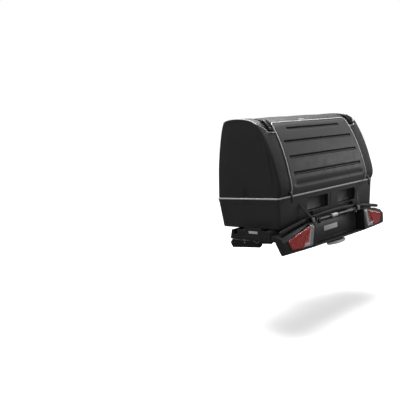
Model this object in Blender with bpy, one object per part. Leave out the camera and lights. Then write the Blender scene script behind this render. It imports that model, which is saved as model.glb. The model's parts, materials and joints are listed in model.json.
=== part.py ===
"""Tow-ball cargo carrier: a hinged-lid cargo box strapped onto a tilting platform
with tail lamps, a number-plate board and a ball clamp.

Metres, +Z up, +X to the right as seen from behind the vehicle, +Y towards it.
The world origin is the centre of the tow ball.  Shapes are laid out in the box's
own frame, whose origin is the middle of the tub's underside; one empty,
box_datum, carries that frame to its place over the ball.
"""

import bpy
import bmesh
from math import cos, pi, radians, sin, sqrt
from mathutils import Vector

# ---------------------------------------------------------------- dimensions
BALL_AHEAD = 0.600          # tow ball centre ahead of the box's middle
BALL_BELOW = 0.245          # tow ball centre below the tub's underside
BALL_R = 0.025              # 50 mm tow ball

TUB_X, TUB_Y = 0.515, 0.2625        # half width and half depth at the rim
TUB_X0, TUB_Y0 = 0.504, 0.2455      # the same at the underside
TUB_TOP = 0.186
TUB_WALL = 0.005
TUB_R = 0.016                       # corner radius in plan
SEAM_LO, SEAM_HI = 0.1863, 0.1967   # light rim piping
SHELL_BOTTOM = 0.1970
SKIN = 0.005                        # padded shell panels
GAP = 0.0003

LID_X = 0.4065                      # half width of the lid
CHEEK_X = 0.4070                    # inner edge of the rear cheeks
HOOP_X = 0.4180

WING_X0, WING_X1 = 0.1250, 0.5600
WING_Y0, WING_Y1 = -0.2140, 0.1270
WING_Z0, WING_Z1 = -0.0620, -0.0003
DECK_X = 0.1244

TILT_Y, TILT_Z = 0.360, -0.115      # tilt pivot
TILT_R = 0.008
LEVER_Y, LEVER_Z = 0.500, -0.2200   # clamp lever pivot
JAW_Y, JAW_Z = 0.5535, -0.2220      # clamp jaw pivot
CATCH_Y, CATCH_Z = 0.3434, -0.2032  # catch bar of the tilt latch
PIN_R = 0.004                       # pivot pins of lever, jaw, pedal and latch
PEDAL_Y, PEDAL_Z = -0.200, -0.1560  # foot pedal pivot
LATCH_Y, LATCH_Z = 0.270, -0.1560   # latch pawl pivot
RATCHET_X = 0.252

LID_HINGE = (-0.1400, 0.6459)       # lid's top line
ARCH_MID, ARCH_DROP, ARCH_END = 0.045, 0.055, 0.540
ARCH_H = 0.012                      # half height of the arched bar
ARCH_Y0, ARCH_Y1 = -0.2855, -0.2655

# side view of the shell, front seam, over the roof, to the lid's lower edge
FRONT = [(0.2580, SHELL_BOTTOM), (0.2440, 0.300), (0.2225, 0.420), (0.1900, 0.550),
         (0.1600, 0.641), (0.1400, 0.677)]
ROOF = [(0.1360, 0.6815), (0.1200, 0.6880), (0.0800, 0.6935), (0.0190, 0.6920),
        (-0.0480, 0.6825), (-0.0960, 0.6690), (-0.1180, 0.6595), LID_HINGE]
LID = [(-0.1433, 0.6435), (-0.1620, 0.6220), (-0.1820, 0.5880),
       (-0.2060, 0.5400), (-0.2360, 0.4620), (-0.2550, 0.4000), (-0.2690, 0.3400),
       (-0.2800, 0.2850), (-0.2830, 0.2450), (-0.2760, 0.2130), (-0.2660, SHELL_BOTTOM)]

# ---------------------------------------------------------------- scene
for _o in list(bpy.data.objects):
    bpy.data.objects.remove(_o, do_unlink=True)

DATUM = bpy.data.objects.new("box_datum", None)
DATUM.location = (0.0, -BALL_AHEAD, BALL_BELOW)
bpy.context.scene.collection.objects.link(DATUM)


def material(name, colour, rough, metal=0.0, trans=0.0):
    mat = bpy.data.materials.new(name)
    mat.use_nodes = True
    shader = mat.node_tree.nodes["Principled BSDF"]
    shader.inputs["Base Color"].default_value = (*colour, 1.0)
    shader.inputs["Roughness"].default_value = rough
    shader.inputs["Metallic"].default_value = metal
    shader.inputs["Transmission Weight"].default_value = trans
    mat.diffuse_color = (*colour, 1.0)
    return mat


TUB_PLASTIC = material("tub_plastic", (0.035, 0.035, 0.037), 0.55)
SHELL_FABRIC = material("shell_fabric", (0.028, 0.028, 0.029), 0.85)
LID_SKIN = material("lid_skin", (0.075, 0.075, 0.078), 0.6)
PIPING = material("piping", (0.36, 0.36, 0.36), 0.6)
FRAME_STEEL = material("frame_steel", (0.02, 0.02, 0.022), 0.45, 0.3)
PLATFORM_PLASTIC = material("platform_plastic", (0.022, 0.022, 0.024), 0.5)
LAMP_RED = material("lamp_red", (0.35, 0.02, 0.02), 0.12, 0.0, 0.4)
LAMP_CLEAR = material("lamp_clear", (0.75, 0.75, 0.75), 0.1, 0.0, 0.6)
REFLECTOR = material("reflector", (0.6, 0.6, 0.6), 0.2, 1.0)
TUBE_GREY = material("tube_grey", (0.11, 0.11, 0.115), 0.4, 0.6)
ZINC = material("zinc", (0.45, 0.45, 0.46), 0.35, 1.0)
RUBBER = material("rubber", (0.015, 0.015, 0.015), 0.8)
PEDAL_GREY = material("pedal_grey", (0.13, 0.13, 0.13), 0.55)
BUCKLE_PLASTIC = material("buckle_plastic", (0.012, 0.012, 0.012), 0.4)


def link(obj, pivot):
    obj.location = pivot
    obj.parent = DATUM
    bpy.context.scene.collection.objects.link(obj)
    return obj


def add(name, verts, faces, mat, pivot=(0.0, 0.0, 0.0), cut=False, sharp=35.0):
    """One closed body; verts in the box frame, stored about its pivot."""
    bm = bmesh.new()
    made = [bm.verts.new((v[0] - pivot[0], v[1] - pivot[1], v[2] - pivot[2])) for v in verts]
    for face in faces:
        bm.faces.new([made[i] for i in face])
    bmesh.ops.recalc_face_normals(bm, faces=bm.faces[:])
    mesh = bpy.data.meshes.new(name)
    bm.to_mesh(mesh)
    bm.free()
    if mat is not None:
        mesh.materials.append(mat)
    mesh.shade_smooth()
    mesh.set_sharp_from_angle(angle=radians(sharp))
    obj = bpy.data.objects.new(name, mesh)
    if cut:
        obj.hide_render = True
        obj.display_type = "WIRE"
    return link(obj, pivot)


def loops(rings, closed=False):
    """Faces between equal rings of points, with both ends capped unless closed."""
    n, verts, faces = len(rings[0]), [p for ring in rings for p in ring], []
    last = len(rings) if closed else len(rings) - 1
    for i in range(last):
        a, b = i * n, ((i + 1) % len(rings)) * n
        for j in range(n):
            k = (j + 1) % n
            faces.append((a + j, a + k, b + k, b + j))
    if not closed:
        faces.append(tuple(reversed(range(n))))
        faces.append(tuple((len(rings) - 1) * n + j for j in range(n)))
    return verts, faces


def box(name, lo, hi, mat, pivot=(0.0, 0.0, 0.0), cut=False, bevel=0.0):
    ring = [(lo[0], lo[1]), (hi[0], lo[1]), (hi[0], hi[1]), (lo[0], hi[1])]
    verts, faces = loops([[(x, y, lo[2]) for x, y in ring], [(x, y, hi[2]) for x, y in ring]])
    obj = add(name, verts, faces, mat, pivot, cut)
    if bevel:
        mod = obj.modifiers.new("edge", "BEVEL")
        mod.width = bevel
        mod.segments = 1
        mod.limit_method = "ANGLE"
    return obj


def prism(name, outline, axis, a, b, mat, pivot=(0.0, 0.0, 0.0), cut=False, bevel=0.0):
    """A flat outline drawn out along one axis from a to b."""
    def at(p, t):
        return {"X": (t, p[0], p[1]), "Y": (p[0], t, p[1]), "Z": (p[0], p[1], t)}[axis]
    verts, faces = loops([[at(p, a) for p in outline], [at(p, b) for p in outline]])
    obj = add(name, verts, faces, mat, pivot, cut)
    if bevel:
        mod = obj.modifiers.new("edge", "BEVEL")
        mod.width = bevel
        mod.segments = 1
        mod.limit_method = "ANGLE"
        mod.angle_limit = radians(40)
    return obj


def rod(name, start, end, radius, mat, sides=12, pivot=None, cut=False, end_radius=None):
    a, b = Vector(start), Vector(end)
    way = (b - a).normalized()
    side = way.orthogonal().normalized()
    up = way.cross(side)
    rings = []
    for p, r in ((a, radius), (b, radius if end_radius is None else end_radius)):
        rings.append([tuple(p + (side * cos(2 * pi * i / sides) + up * sin(2 * pi * i / sides)) * r)
                      for i in range(sides)])
    verts, faces = loops(rings)
    return add(name, verts, faces, mat, pivot or tuple(a), cut)


def x_circle(y, z, r, sides, start=0.0):
    return [(y + r * cos(start + 2 * pi * i / sides), z + r * sin(start + 2 * pi * i / sides))
            for i in range(sides)]


def swept(name, path, radius, mat, sides=6, fixed=Vector((1, 0, 0)), pivot=(0.0, 0.0, 0.0), rx=None):
    """A bent rod along path; its section keeps one side along `fixed` where it can."""
    pts = [Vector(p) for p in path]
    rings = []
    for i, p in enumerate(pts):
        before = (p - pts[i - 1]).normalized() if i else None
        after = (pts[i + 1] - p).normalized() if i + 1 < len(pts) else None
        way = ((before or after) + (after or before)).normalized()
        side = fixed - way * fixed.dot(way)
        if side.length < 0.2:
            other = Vector((0, 0, 1))
            side = other - way * other.dot(way)
        side.normalize()
        up = way.cross(side)
        stretch = 1.0 / max(0.5, (before or way).dot(way))
        bend = None
        if before is not None and after is not None and (after - before).length > 1e-4:
            bend = (after - before).normalized()
        ring = []
        for k in range(sides):
            ang = 2 * pi * (k + 0.5) / sides
            d = side * cos(ang) * (rx or radius) + up * sin(ang) * radius
            if bend is not None:
                d += bend * d.dot(bend) * (stretch - 1.0)
            ring.append(tuple(p + d))
        rings.append(ring)
    verts, faces = loops(rings)
    return add(name, verts, faces, mat, pivot)


def boolean(obj, operation, other):
    mod = obj.modifiers.new(operation.lower() + "_" + other.name, "BOOLEAN")
    mod.operation = operation
    mod.solver = "EXACT"
    mod.object = other
    return mod


def plan_ring(hx, hy, r, z, seg=4):
    ring = []
    for cx, cy, a0 in ((hx - r, hy - r, 0.0), (-hx + r, hy - r, pi / 2),
                       (-hx + r, -hy + r, pi), (hx - r, -hy + r, 1.5 * pi)):
        for i in range(seg + 1):
            a = a0 + (pi / 2) * i / seg
            ring.append((cx + r * cos(a), cy + r * sin(a), z))
    return ring


def offset(path, d):
    """The (y, z) path moved d towards its right-hand side, which is the box's inside."""
    out = []
    for i, (y, z) in enumerate(path):
        y0, z0 = path[max(i - 1, 0)]
        y1, z1 = path[min(i + 1, len(path) - 1)]
        ty, tz = y1 - y0, z1 - z0
        n = sqrt(ty * ty + tz * tz)
        # the path runs up the front, back over the roof and down the lid
        out.append((y - tz / n * d, z + ty / n * d))
    return out


def strip_outline(path, thick):
    inner = [(y, max(z, SHELL_BOTTOM)) for y, z in offset(path, thick)]
    return path + inner[::-1]


# ================================================================ cargo box
# ---- tub: open-top moulding, with two deep grip pockets and two strap recesses
def tub_half(z):
    t = z / TUB_TOP
    return TUB_X0 + (TUB_X - 0.0006 - TUB_X0) * t, TUB_Y0 + (TUB_Y - 0.0006 - TUB_Y0) * t


def tub_ring(z, inset):
    hx, hy = tub_half(z)
    return plan_ring(hx - inset, hy - inset, max(TUB_R - inset, 0.006), z)


verts, faces = loops([tub_ring(0.0, 0.006), tub_ring(0.006, 0.0), tub_ring(TUB_TOP, 0.0)])
tub = add("tub_shell", verts, faces, TUB_PLASTIC)
verts, faces = loops([tub_ring(TUB_WALL, TUB_WALL + 0.004), tub_ring(0.012, TUB_WALL),
                      [(x, y, TUB_TOP + 0.02) for x, y, _ in tub_ring(TUB_TOP, TUB_WALL)]])
cavity = add("cut_tub_cavity", verts, faces, None, cut=True)
POCKETS = {
    "grip_left": ((-0.235, -0.300, 0.076), (-0.015, -0.2200, 0.157)),
    "grip_right": ((0.100, -0.300, 0.076), (0.300, -0.2200, 0.157)),
    "strap_left": ((-0.272, -0.300, -0.02), (-0.180, -0.2330, 0.066)),
    "strap_right": ((0.180, -0.300, -0.02), (0.272, -0.2330, 0.066)),
}
for key, (lo, hi) in POCKETS.items():
    wall = TUB_WALL
    guard = box("guard_" + key, (lo[0] - wall, lo[1], lo[2] - wall),
                (hi[0] + wall, hi[1] + wall, hi[2] + wall), None, cut=True)
    boolean(cavity, "DIFFERENCE", guard)
boolean(tub, "DIFFERENCE", cavity)
for key, (lo, hi) in POCKETS.items():
    boolean(tub, "DIFFERENCE", box("cut_" + key, lo, hi, None, cut=True))
# shallow fields in both end walls
for side, sgn in (("left", -1), ("right", 1)):
    pts = []
    for y, z in ((-0.190, 0.014), (0.190, 0.014), (0.200, 0.160), (-0.200, 0.160)):
        pts.append((y, z))
    inner = [(sgn * (tub_half(z)[0] - 0.0022), y, z) for y, z in pts]
    outer = [(sgn * 0.540, y, z) for y, z in pts]
    verts, faces = loops([inner, outer])
    boolean(tub, "DIFFERENCE", add("cut_field_" + side, verts, faces, None, cut=True))

# ---- light piping ring on the tub's rim
ring_out = [plan_ring(TUB_X + 0.0025, TUB_Y + 0.0025, TUB_R, z) for z in (SEAM_LO, SEAM_HI)]
ring_in = [plan_ring(TUB_X - 0.0065, TUB_Y - 0.0065, TUB_R - 0.009, z) for z in (SEAM_HI, SEAM_LO)]
verts, faces = loops([ring_out[0], ring_out[1], ring_in[0], ring_in[1]], closed=True)
add("rim_piping", verts, faces, PIPING)

# ---- shell: side panels with their rear cheeks, front panel, roof panel
outline = FRONT + ROOF + LID
for side, sgn in (("left", -1), ("right", 1)):
    xs = sorted((sgn * 0.5095, sgn * 0.5150))
    panel = prism("side_panel_" + side, outline, "X", xs[0], xs[1], SHELL_FABRIC)
    cheek_outline = strip_outline(LID, SKIN)
    xs = sorted((sgn * CHEEK_X, sgn * 0.5120))
    cheek = prism("cheek_" + side, cheek_outline, "X", xs[0], xs[1], None, cut=True)
    boolean(panel, "UNION", cheek)
prism("front_panel", strip_outline(FRONT, SKIN), "X", -0.5092, 0.5092, SHELL_FABRIC)
prism("roof_panel", strip_outline(ROOF, SKIN), "X", -0.5092, 0.5092, SHELL_FABRIC)

# ---- lid: one stiff curved panel hinged along its top line
HINGE = (0.0, LID_HINGE[0], LID_HINGE[1])
prism("lid_panel", strip_outline(LID, SKIN), "X", -LID_X, LID_X, LID_SKIN, pivot=HINGE)

edge = [(y, z) for y, z in offset(LID[:-1], -0.0034)]
path = [(-0.4030, y, z) for y, z in edge[:0:-1]]
top_y, top_z = edge[0]
run = Vector((top_y - edge[1][0], top_z - edge[1][1])).normalized()
# the piping turns the lid's top corners on a short chamfer that lies in the lid's surface
path = path + [(-0.4030 + dx, top_y - run.x * back, top_z - run.y * back)
               for dx, back in ((0.0, 0.0130), (0.0045, 0.0045), (0.0130, 0.0))]
path = path + [(-x, y, z) for x, y, z in path[::-1]]
swept("lid_piping", path, 0.0028, PIPING, sides=6, pivot=HINGE)

# ---- pulls of the two zips that run up beside the lid, hanging at its lower corners
for side, sgn in (("left", -1), ("right", 1)):
    py, pz = -0.2925, 0.2150
    pivot = (sgn * 0.4240, py, pz)
    prism("zip_pull_" + side, [(py - 0.0025, pz + 0.0045), (py + 0.0025, pz + 0.0045), (py + 0.0025, pz - 0.056),
                               (py - 0.0025, pz - 0.060)],
          "X", sgn * 0.4240 - 0.0095, sgn * 0.4240 + 0.0095, BUCKLE_PLASTIC, pivot=pivot)

# ---- hoops inside the shell, and the bar that joins them under the lid's top line
whole = FRONT + ROOF[1:-1] + LID[1:]
for side, sgn in (("left", -1), ("right", 1)):
    arc = [(sgn * HOOP_X, y, max(z, SHELL_BOTTOM + 0.0040)) for y, z in offset(whole, 0.0105)]
    swept("hoop_" + side, arc, 0.0040, TUBE_GREY, sides=6)
ridge = offset(ROOF, 0.0120)[-2]
rod("ridge_bar", (-HOOP_X + 0.0045, ridge[0], ridge[1]), (HOOP_X - 0.0045, ridge[0], ridge[1]), 0.0045,
    TUBE_GREY, sides=8)

# ---- top buckles on the shoulders: each a flap that folds up off the shell
for side, sgn in (("left", -1), ("right", 1)):
    base = [(-0.1240, 0.6560), (-0.1440, 0.6430), (-0.1620, 0.6220), (-0.1800, 0.5915)]
    low, high = offset(base, -0.0012), offset(base, -0.0160)
    xs = sorted((sgn * 0.4105, sgn * 0.4525))
    prism("top_buckle_" + side, low + high[::-1], "X", xs[0], xs[1], BUCKLE_PLASTIC,
          pivot=(sgn * 0.4315, low[0][0], 0.5 * (low[0][1] + high[0][1])))

# ================================================================ platform
# ---- folding wings: moulded wheel trays with two troughs, and the centre deck
wing_side = [(WING_Y1, WING_Z0), (WING_Y1 - 0.018, WING_Z1), (-0.2060, WING_Z1), (WING_Y0, -0.0085),
             (WING_Y0, WING_Z0)]
wing_under = [(0.1190, -0.0800), (0.1190, -0.0500), (0.1080, -0.0130), (0.0985, -0.0130), (0.0965, -0.0345),
              (0.0415, -0.0345), (0.0395, -0.0130), (-0.1135, -0.0130), (-0.1175, -0.0345), (-0.1705, -0.0345),
              (-0.1745, -0.0130), (-0.2095, -0.0130), (-0.2095, -0.0800)]
for side, sgn in (("left", -1), ("right", 1)):
    xs = sorted((sgn * WING_X0, sgn * WING_X1))
    wing = prism("wing_" + side, wing_side, "X", xs[0], xs[1], PLATFORM_PLASTIC)
    # the upstand that the end label is moulded on
    us = sorted((sgn * 0.5480, sgn * WING_X1))
    boolean(wing, "UNION", prism("upstand_" + side, [(-0.1480, -0.0100), (-0.1400, 0.0160), (-0.0120, 0.0160),
                                                     (-0.0040, -0.0100)], "X", us[0], us[1], None, cut=True))
    boolean(wing, "DIFFERENCE", prism("cut_wing_" + side, wing_under, "X", xs[0] + 0.0045, xs[1] - 0.0045, None,
                                      cut=True))
    for key, y0, y1, past in (("front", 0.0460, 0.0920, -0.016), ("rear", -0.1660, -0.1220, -0.016),
                              ("notch", 0.0620, 0.0900, 0.010)):
        ts = sorted((sgn * (WING_X0 - 0.010), sgn * (WING_X1 + past)))
        boolean(wing, "DIFFERENCE", box("cut_%s_%s" % (key, side), (ts[0], y0, -0.0300), (ts[1], y1, 0.010), None,
                                        cut=True))
deck_side = [(WING_Y1 + 0.010, WING_Z0), (WING_Y1 + 0.004, -0.018), (WING_Y0, -0.018), (WING_Y0, WING_Z0)]
prism("centre_deck", deck_side, "X", -DECK_X, DECK_X, PLATFORM_PLASTIC)

# ---- hooks that hold the tub's front over the wings' front edges
for side, sgn in (("left", -1), ("right", 1)):
    hook = [(0.2000, -0.0004), (0.1130, -0.0004), (0.1130, -0.0044), (0.1180, -0.0082), (0.1310, -0.0560),
            (0.1360, -0.0560), (0.1235, -0.0070), (0.2000, -0.0044)]
    xs = sorted((sgn * 0.2600, sgn * 0.3000))
    prism("box_hook_" + side, hook, "X", xs[0], xs[1], FRAME_STEEL)

# ---- frame: two cross tubes over two longitudinal rails with lugs for the pins
for name, y in (("cross_tube_front", 0.070), ("cross_tube_rear", -0.170)):
    tube = box(name, (-0.300, y - 0.0125, -0.0873), (0.300, y + 0.0125, WING_Z0 - GAP), FRAME_STEEL)
    boolean(tube, "DIFFERENCE", box("cut_" + name, (-0.6, y - 0.0105, -0.0853), (0.6, y + 0.0105, -0.0643), None,
                                    cut=True))
rail_side = [(-0.2140, -0.1660), (-0.2110, -0.1690), (-0.1900, -0.1690), (-0.1820, -0.1400), (0.2520, -0.1400),
             (0.2590, -0.1690), (0.2810, -0.1690), (0.2880, -0.1400), (0.3900, -0.1400), (0.4000, -0.1300),
             (0.4000, -0.0976), (0.3900, -0.0876), (-0.2140, -0.0876)]
for side, sgn in (("left", -1), ("right", 1)):
    xs = sorted((sgn * 0.0740, sgn * 0.1040))
    rail = prism("rail_" + side, rail_side, "X", xs[0], xs[1], FRAME_STEEL)
    boolean(rail, "DIFFERENCE", box("cut_bore_" + side, (xs[0] + 0.003, -0.30, -0.1365), (xs[1] - 0.003, 0.50, -0.0911),
                                    None, cut=True))
    for key, y, z, r in (("tilt", TILT_Y, TILT_Z, TILT_R), ("pedal", PEDAL_Y, PEDAL_Z, PIN_R),
                         ("latch", LATCH_Y, LATCH_Z, PIN_R)):
        boolean(rail, "DIFFERENCE", prism("cut_%s_%s" % (key, side), x_circle(y, z, r + 0.0006, 16), "X",
                                          xs[0] - 0.01, xs[1] + 0.01, None, cut=True))

# ---- arched bar behind the lamps, over the full width
def arch_z(x):
    return ARCH_MID - ARCH_DROP * (x / ARCH_END) ** 2


STEPS = 14
rings = []
for i in range(STEPS + 1):
    x = -ARCH_END + 2 * ARCH_END * i / STEPS
    z = arch_z(x)
    c = 0.004
    rings.append([(x, y, z + dz) for y, dz in
                  ((ARCH_Y0 + c, -ARCH_H), (ARCH_Y1 - c, -ARCH_H), (ARCH_Y1, -ARCH_H + c), (ARCH_Y1, ARCH_H - c),
                   (ARCH_Y1 - c, ARCH_H), (ARCH_Y0 + c, ARCH_H), (ARCH_Y0, ARCH_H - c), (ARCH_Y0, -ARCH_H + c))])
verts, faces = loops(rings)
add("arch_bar", verts, faces, PLATFORM_PLASTIC)

# ---- lamp housings: lofted from the outer end to the inner end, hollowed for the lamp
def section(x, pts):
    return [(x, y, z) for y, z in pts]


OUTER = [(WING_Y0 - 0.0005, -0.0285), (WING_Y0 - 0.0005, -0.0600), (-0.2450, -0.0620), (-0.2830, -0.1360),
         (-0.2950, -0.1400), (-0.3080, -0.1280), (-0.3100, -0.0640), (-0.2900, -0.0390), (-0.2560, -0.0310),
         (-0.2520, -0.0285)]
INNER = [(WING_Y0 - 0.0005, -0.0090), (WING_Y0 - 0.0005, -0.0600), (-0.2450, -0.0620), (-0.2980, -0.1360),
         (-0.3180, -0.1400), (-0.3330, -0.1280), (-0.3300, 0.0050), (-0.2900, 0.0145), (-0.2560, 0.0145),
         (-0.2520, -0.0090)]
LENS = [(0.3030, 0.0045), (0.2830, -0.0100), (0.3110, -0.1190), (0.4040, -0.1200), (0.4900, -0.1150),
        (0.5160, -0.0610), (0.4850, -0.0440)]


def lens_y(x, proud=0.0):
    """Rear face of the lamp: swept forward towards its outer end."""
    return -0.3345 + (abs(x) - 0.28) / 0.26 * 0.0200 - proud


def inset_outline(points, d):
    cx = sum(p[0] for p in points) / len(points)
    cz = sum(p[1] for p in points) / len(points)
    out = []
    for x, z in points:
        n = sqrt((x - cx) ** 2 + (z - cz) ** 2)
        out.append((x - (x - cx) / n * d, z - (z - cz) / n * d))
    return out


def lamp_slab(name, outline, sgn, front, back, mat, cut=False):
    """An outline drawn between two surfaces parallel to the lamp's swept face."""
    rear = [(sgn * x, lens_y(x, front), z) for x, z in outline]
    fore = [(sgn * x, lens_y(x, back), z) for x, z in outline]
    verts, faces = loops([rear, fore])
    return add(name, verts, faces, mat, cut=cut)


CLEAR = [(0.3030, 0.0045), (0.2830, -0.0100), (0.3110, -0.1190), (0.3950, -0.1199), (0.3920, -0.0940),
         (0.3430, -0.0930), (0.3160, 0.0010)]
RED = [(0.3176, 0.0006), (0.3444, -0.0922), (0.3936, -0.0932), (0.3968, -0.1196), (0.4900, -0.1150),
       (0.5160, -0.0610), (0.4850, -0.0440)]
for side, sgn in (("left", -1), ("right", 1)):
    steps = 4
    rings = []
    for i in range(steps + 1):
        t = i / steps
        x = sgn * (0.5550 + (0.2720 - 0.5550) * t)
        rings.append(section(x, [(a[0] + (b[0] - a[0]) * t, a[1] + (b[1] - a[1]) * t)
                                 for a, b in zip(OUTER, INNER)]))
    verts, faces = loops(rings)
    housing = add("lamp_housing_" + side, verts, faces, PLATFORM_PLASTIC, sharp=25)
    well = lamp_slab("cut_lamp_" + side, inset_outline(LENS, -0.0012), sgn, 0.030, -0.0360, None, cut=True)
    boolean(housing, "DIFFERENCE", well)
    lamp_slab("lamp_lens_red_" + side, RED, sgn, 0.0015, -0.0045, LAMP_RED)
    lamp_slab("lamp_lens_clear_" + side, CLEAR, sgn, 0.0015, -0.0045, LAMP_CLEAR)
    lamp_slab("lamp_reflector_" + side, inset_outline(LENS, 0.0010), sgn, -0.0290, -0.0352, REFLECTOR)

# ---- number-plate board between the lamps, the sill under it, the handle tube over it
box("plate_board", (-0.2680, -0.2660, -0.1290), (0.2680, -0.2600, -0.0060), PLATFORM_PLASTIC)
sill = [(-0.2450, -0.1294), (-0.3160, -0.1294), (-0.3200, -0.1335), (-0.3140, -0.1410), (-0.2900, -0.1450),
        (-0.2450, -0.1404)]
sill_bar = prism("rear_sill", sill, "X", -0.2715, 0.2715, PLATFORM_PLASTIC)
for side, sgn in (("left", -1), ("right", 1)):
    # a web at each end closes the corner between the board and the lamp housing
    xs = sorted((sgn * 0.2686, sgn * 0.2715))
    boolean(sill_bar, "UNION", prism("web_" + side, [(-0.2560, -0.1320), (-0.2560, -0.0560), (-0.2800, -0.0560),
                                                     (-0.3060, -0.1320)], "X", xs[0], xs[1], None, cut=True))
handle = rod("handle_tube", (-0.1900, -0.2990, 0.0180), (0.1900, -0.2990, 0.0180), 0.0110, TUBE_GREY, sides=14)
for side, sgn in (("left", -1), ("right", 1)):
    # each end lug hugs the tube and reaches forward over the board towards the arched bar
    lug = [(-0.3130, -0.0057), (-0.2600, -0.0057), (-0.2600, 0.0140), (-0.2862, 0.0200), (-0.2862, 0.0310),
           (-0.3130, 0.0310)]
    xs = sorted((sgn * 0.1856, sgn * 0.2060))
    boolean(handle, "UNION", prism("lug_" + side, lug, "X", xs[0], xs[1], None, cut=True))

# ---- ladder straps from the tub's rear wall to ratchets on the arched bar
for side, sgn in (("left", -1), ("right", 1)):
    rings = []
    for x, y, z in ((sgn * 0.3160, -0.2592, 0.1260), (sgn * 0.2760, -0.2900, 0.0640),
                    (sgn * 0.2660, -0.2944, 0.0500), (sgn * (RATCHET_X + 0.0040), -0.2945, 0.0340)):
        rings.append([(x - 0.0080, y - 0.0014, z), (x + 0.0080, y - 0.0014, z), (x + 0.0080, y + 0.0014, z),
                      (x - 0.0080, y + 0.0014, z)])
    verts, faces = loops(rings)
    add("ladder_strap_" + side, verts, faces, RUBBER)
    rx, rz = sgn * RATCHET_X, arch_z(RATCHET_X)
    box("ratchet_base_" + side, (rx - 0.0170, -0.2925, rz - 0.0100), (rx + 0.0170, ARCH_Y0 - GAP, rz + 0.0090),
        BUCKLE_PLASTIC)
    lever = [(-0.2985, rz + 0.0060), (-0.3040, rz + 0.0060), (-0.3070, rz + 0.0010), (-0.3120, rz - 0.0260),
             (-0.3080, rz - 0.0275), (-0.2990, rz - 0.0040)]
    prism("ratchet_lever_" + side, lever, "X", rx - 0.0140, rx + 0.0140, PEDAL_GREY,
          pivot=(rx, -0.3010, rz + 0.0040))

# ---- foot pedal, its pin and return spring, and the latch pawl that it pulls through a rod
PEDAL = (0.0, PEDAL_Y, PEDAL_Z)
SIDES = 20
rings = []
for z, scale in ((-0.1720, 0.84), (-0.1670, 1.0), (-0.1580, 1.0), (-0.1525, 0.88)):
    rings.append([(0.098 * scale * cos(2 * pi * i / SIDES), -0.2830 + 0.0340 * scale * sin(2 * pi * i / SIDES), z)
                  for i in range(SIDES)])
verts, faces = loops(rings)
pedal = add("foot_pedal", verts, faces, PEDAL_GREY, pivot=PEDAL)
boolean(pedal, "UNION", box("pedal_arm", (-0.0280, -0.2700, -0.1650), (0.0280, PEDAL_Y + 0.010, -0.1460), None,
                            cut=True))
boolean(pedal, "UNION", box("pedal_horn", (-0.0040, PEDAL_Y - 0.005, -0.1500), (0.0040, PEDAL_Y + 0.005, -0.1360),
                            None, cut=True))
boolean(pedal, "DIFFERENCE", prism("cut_pedal_pin", x_circle(PEDAL_Y, PEDAL_Z, PIN_R + 0.0006, 12), "X", -0.05, 0.05,
                                   None, cut=True))
rod("pedal_pin", (-0.1030, PEDAL_Y, PEDAL_Z), (0.1030, PEDAL_Y, PEDAL_Z), PIN_R, ZINC, sides=12)
TURNS, COIL_R, WIRE = 4, 0.0074, 0.0011
coil = [(0.0330, PEDAL_Y + COIL_R, PEDAL_Z - 0.018)]
for i in range(TURNS * 8 + 1):
    a = 2 * pi * i / 8
    coil.append((0.0330 + 0.0240 * i / (TURNS * 8), PEDAL_Y + COIL_R * cos(a), PEDAL_Z + COIL_R * sin(a)))
coil.append((0.0570, PEDAL_Y + COIL_R, PEDAL_Z + 0.014))
swept("pedal_spring", coil, WIRE, ZINC, sides=5)

pawl_side = [(0.2550, -0.1480), (0.2550, -0.1640), (0.3000, -0.1700), (0.3180, -0.1880), (0.3240, -0.1880),
             (0.3260, -0.1700), (0.3060, -0.1480)]
pawl = prism("latch_pawl", pawl_side, "X", -0.0120, 0.0120, ZINC, pivot=(0.0, LATCH_Y, LATCH_Z))
boolean(pawl, "UNION", box("pawl_horn", (-0.0040, 0.2640, -0.1500), (0.0040, 0.2760, -0.1360), None, cut=True))
boolean(pawl, "DIFFERENCE", prism("cut_latch_pin", x_circle(LATCH_Y, LATCH_Z, PIN_R + 0.0006, 12), "X", -0.05, 0.05,
                                  None, cut=True))
rod("latch_pin", (-0.1030, LATCH_Y, LATCH_Z), (0.1030, LATCH_Y, LATCH_Z), PIN_R, ZINC, sides=12)
rod("latch_rod", (0.0, -0.1930, -0.1400), (0.0, 0.2550, -0.1400), 0.0030, ZINC, sides=8)

# ================================================================ coupling
cheek = [(0.6550, -0.2420), (0.6350, -0.2680), (0.3460, -0.2480), (0.3230, -0.2290), (0.3230, -0.1050),
         (0.3400, -0.0880), (0.3800, -0.0880), (0.4000, -0.1000), (0.4250, -0.1960), (0.4450, -0.2040),
         (0.6350, -0.2040), (0.6550, -0.2250)]
for side, sgn in (("left", -1), ("right", 1)):
    xs = sorted((sgn * 0.0620, sgn * 0.0700))
    plate = prism("coupling_cheek_" + side, cheek, "X", xs[0], xs[1], FRAME_STEEL)
    for key, y, z, r in (("tilt", TILT_Y, TILT_Z, TILT_R), ("lever", LEVER_Y, LEVER_Z, PIN_R)):
        boolean(plate, "DIFFERENCE", prism("cut_cheek_%s_%s" % (key, side), x_circle(y, z, r + 0.0004, 16), "X",
                                           xs[0] - 0.01, xs[1] + 0.01, None, cut=True))
rod("tilt_pin", (-0.1090, TILT_Y, TILT_Z), (0.1090, TILT_Y, TILT_Z), TILT_R, ZINC, sides=16)
rod("lever_pin", (-0.0740, LEVER_Y, LEVER_Z), (0.0740, LEVER_Y, LEVER_Z), PIN_R, ZINC, sides=16)
rod("catch_bar", (-0.0617, CATCH_Y, CATCH_Z), (0.0617, CATCH_Y, CATCH_Z), 0.0050, ZINC, sides=10)
rod("jaw_pin", (-0.0617, JAW_Y, JAW_Z), (0.0617, JAW_Y, JAW_Z), PIN_R, ZINC, sides=12)
cup = box("ball_cup", (-0.0617, 0.5770, -0.2640), (0.0617, 0.6500, -0.2060), FRAME_STEEL)
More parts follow.
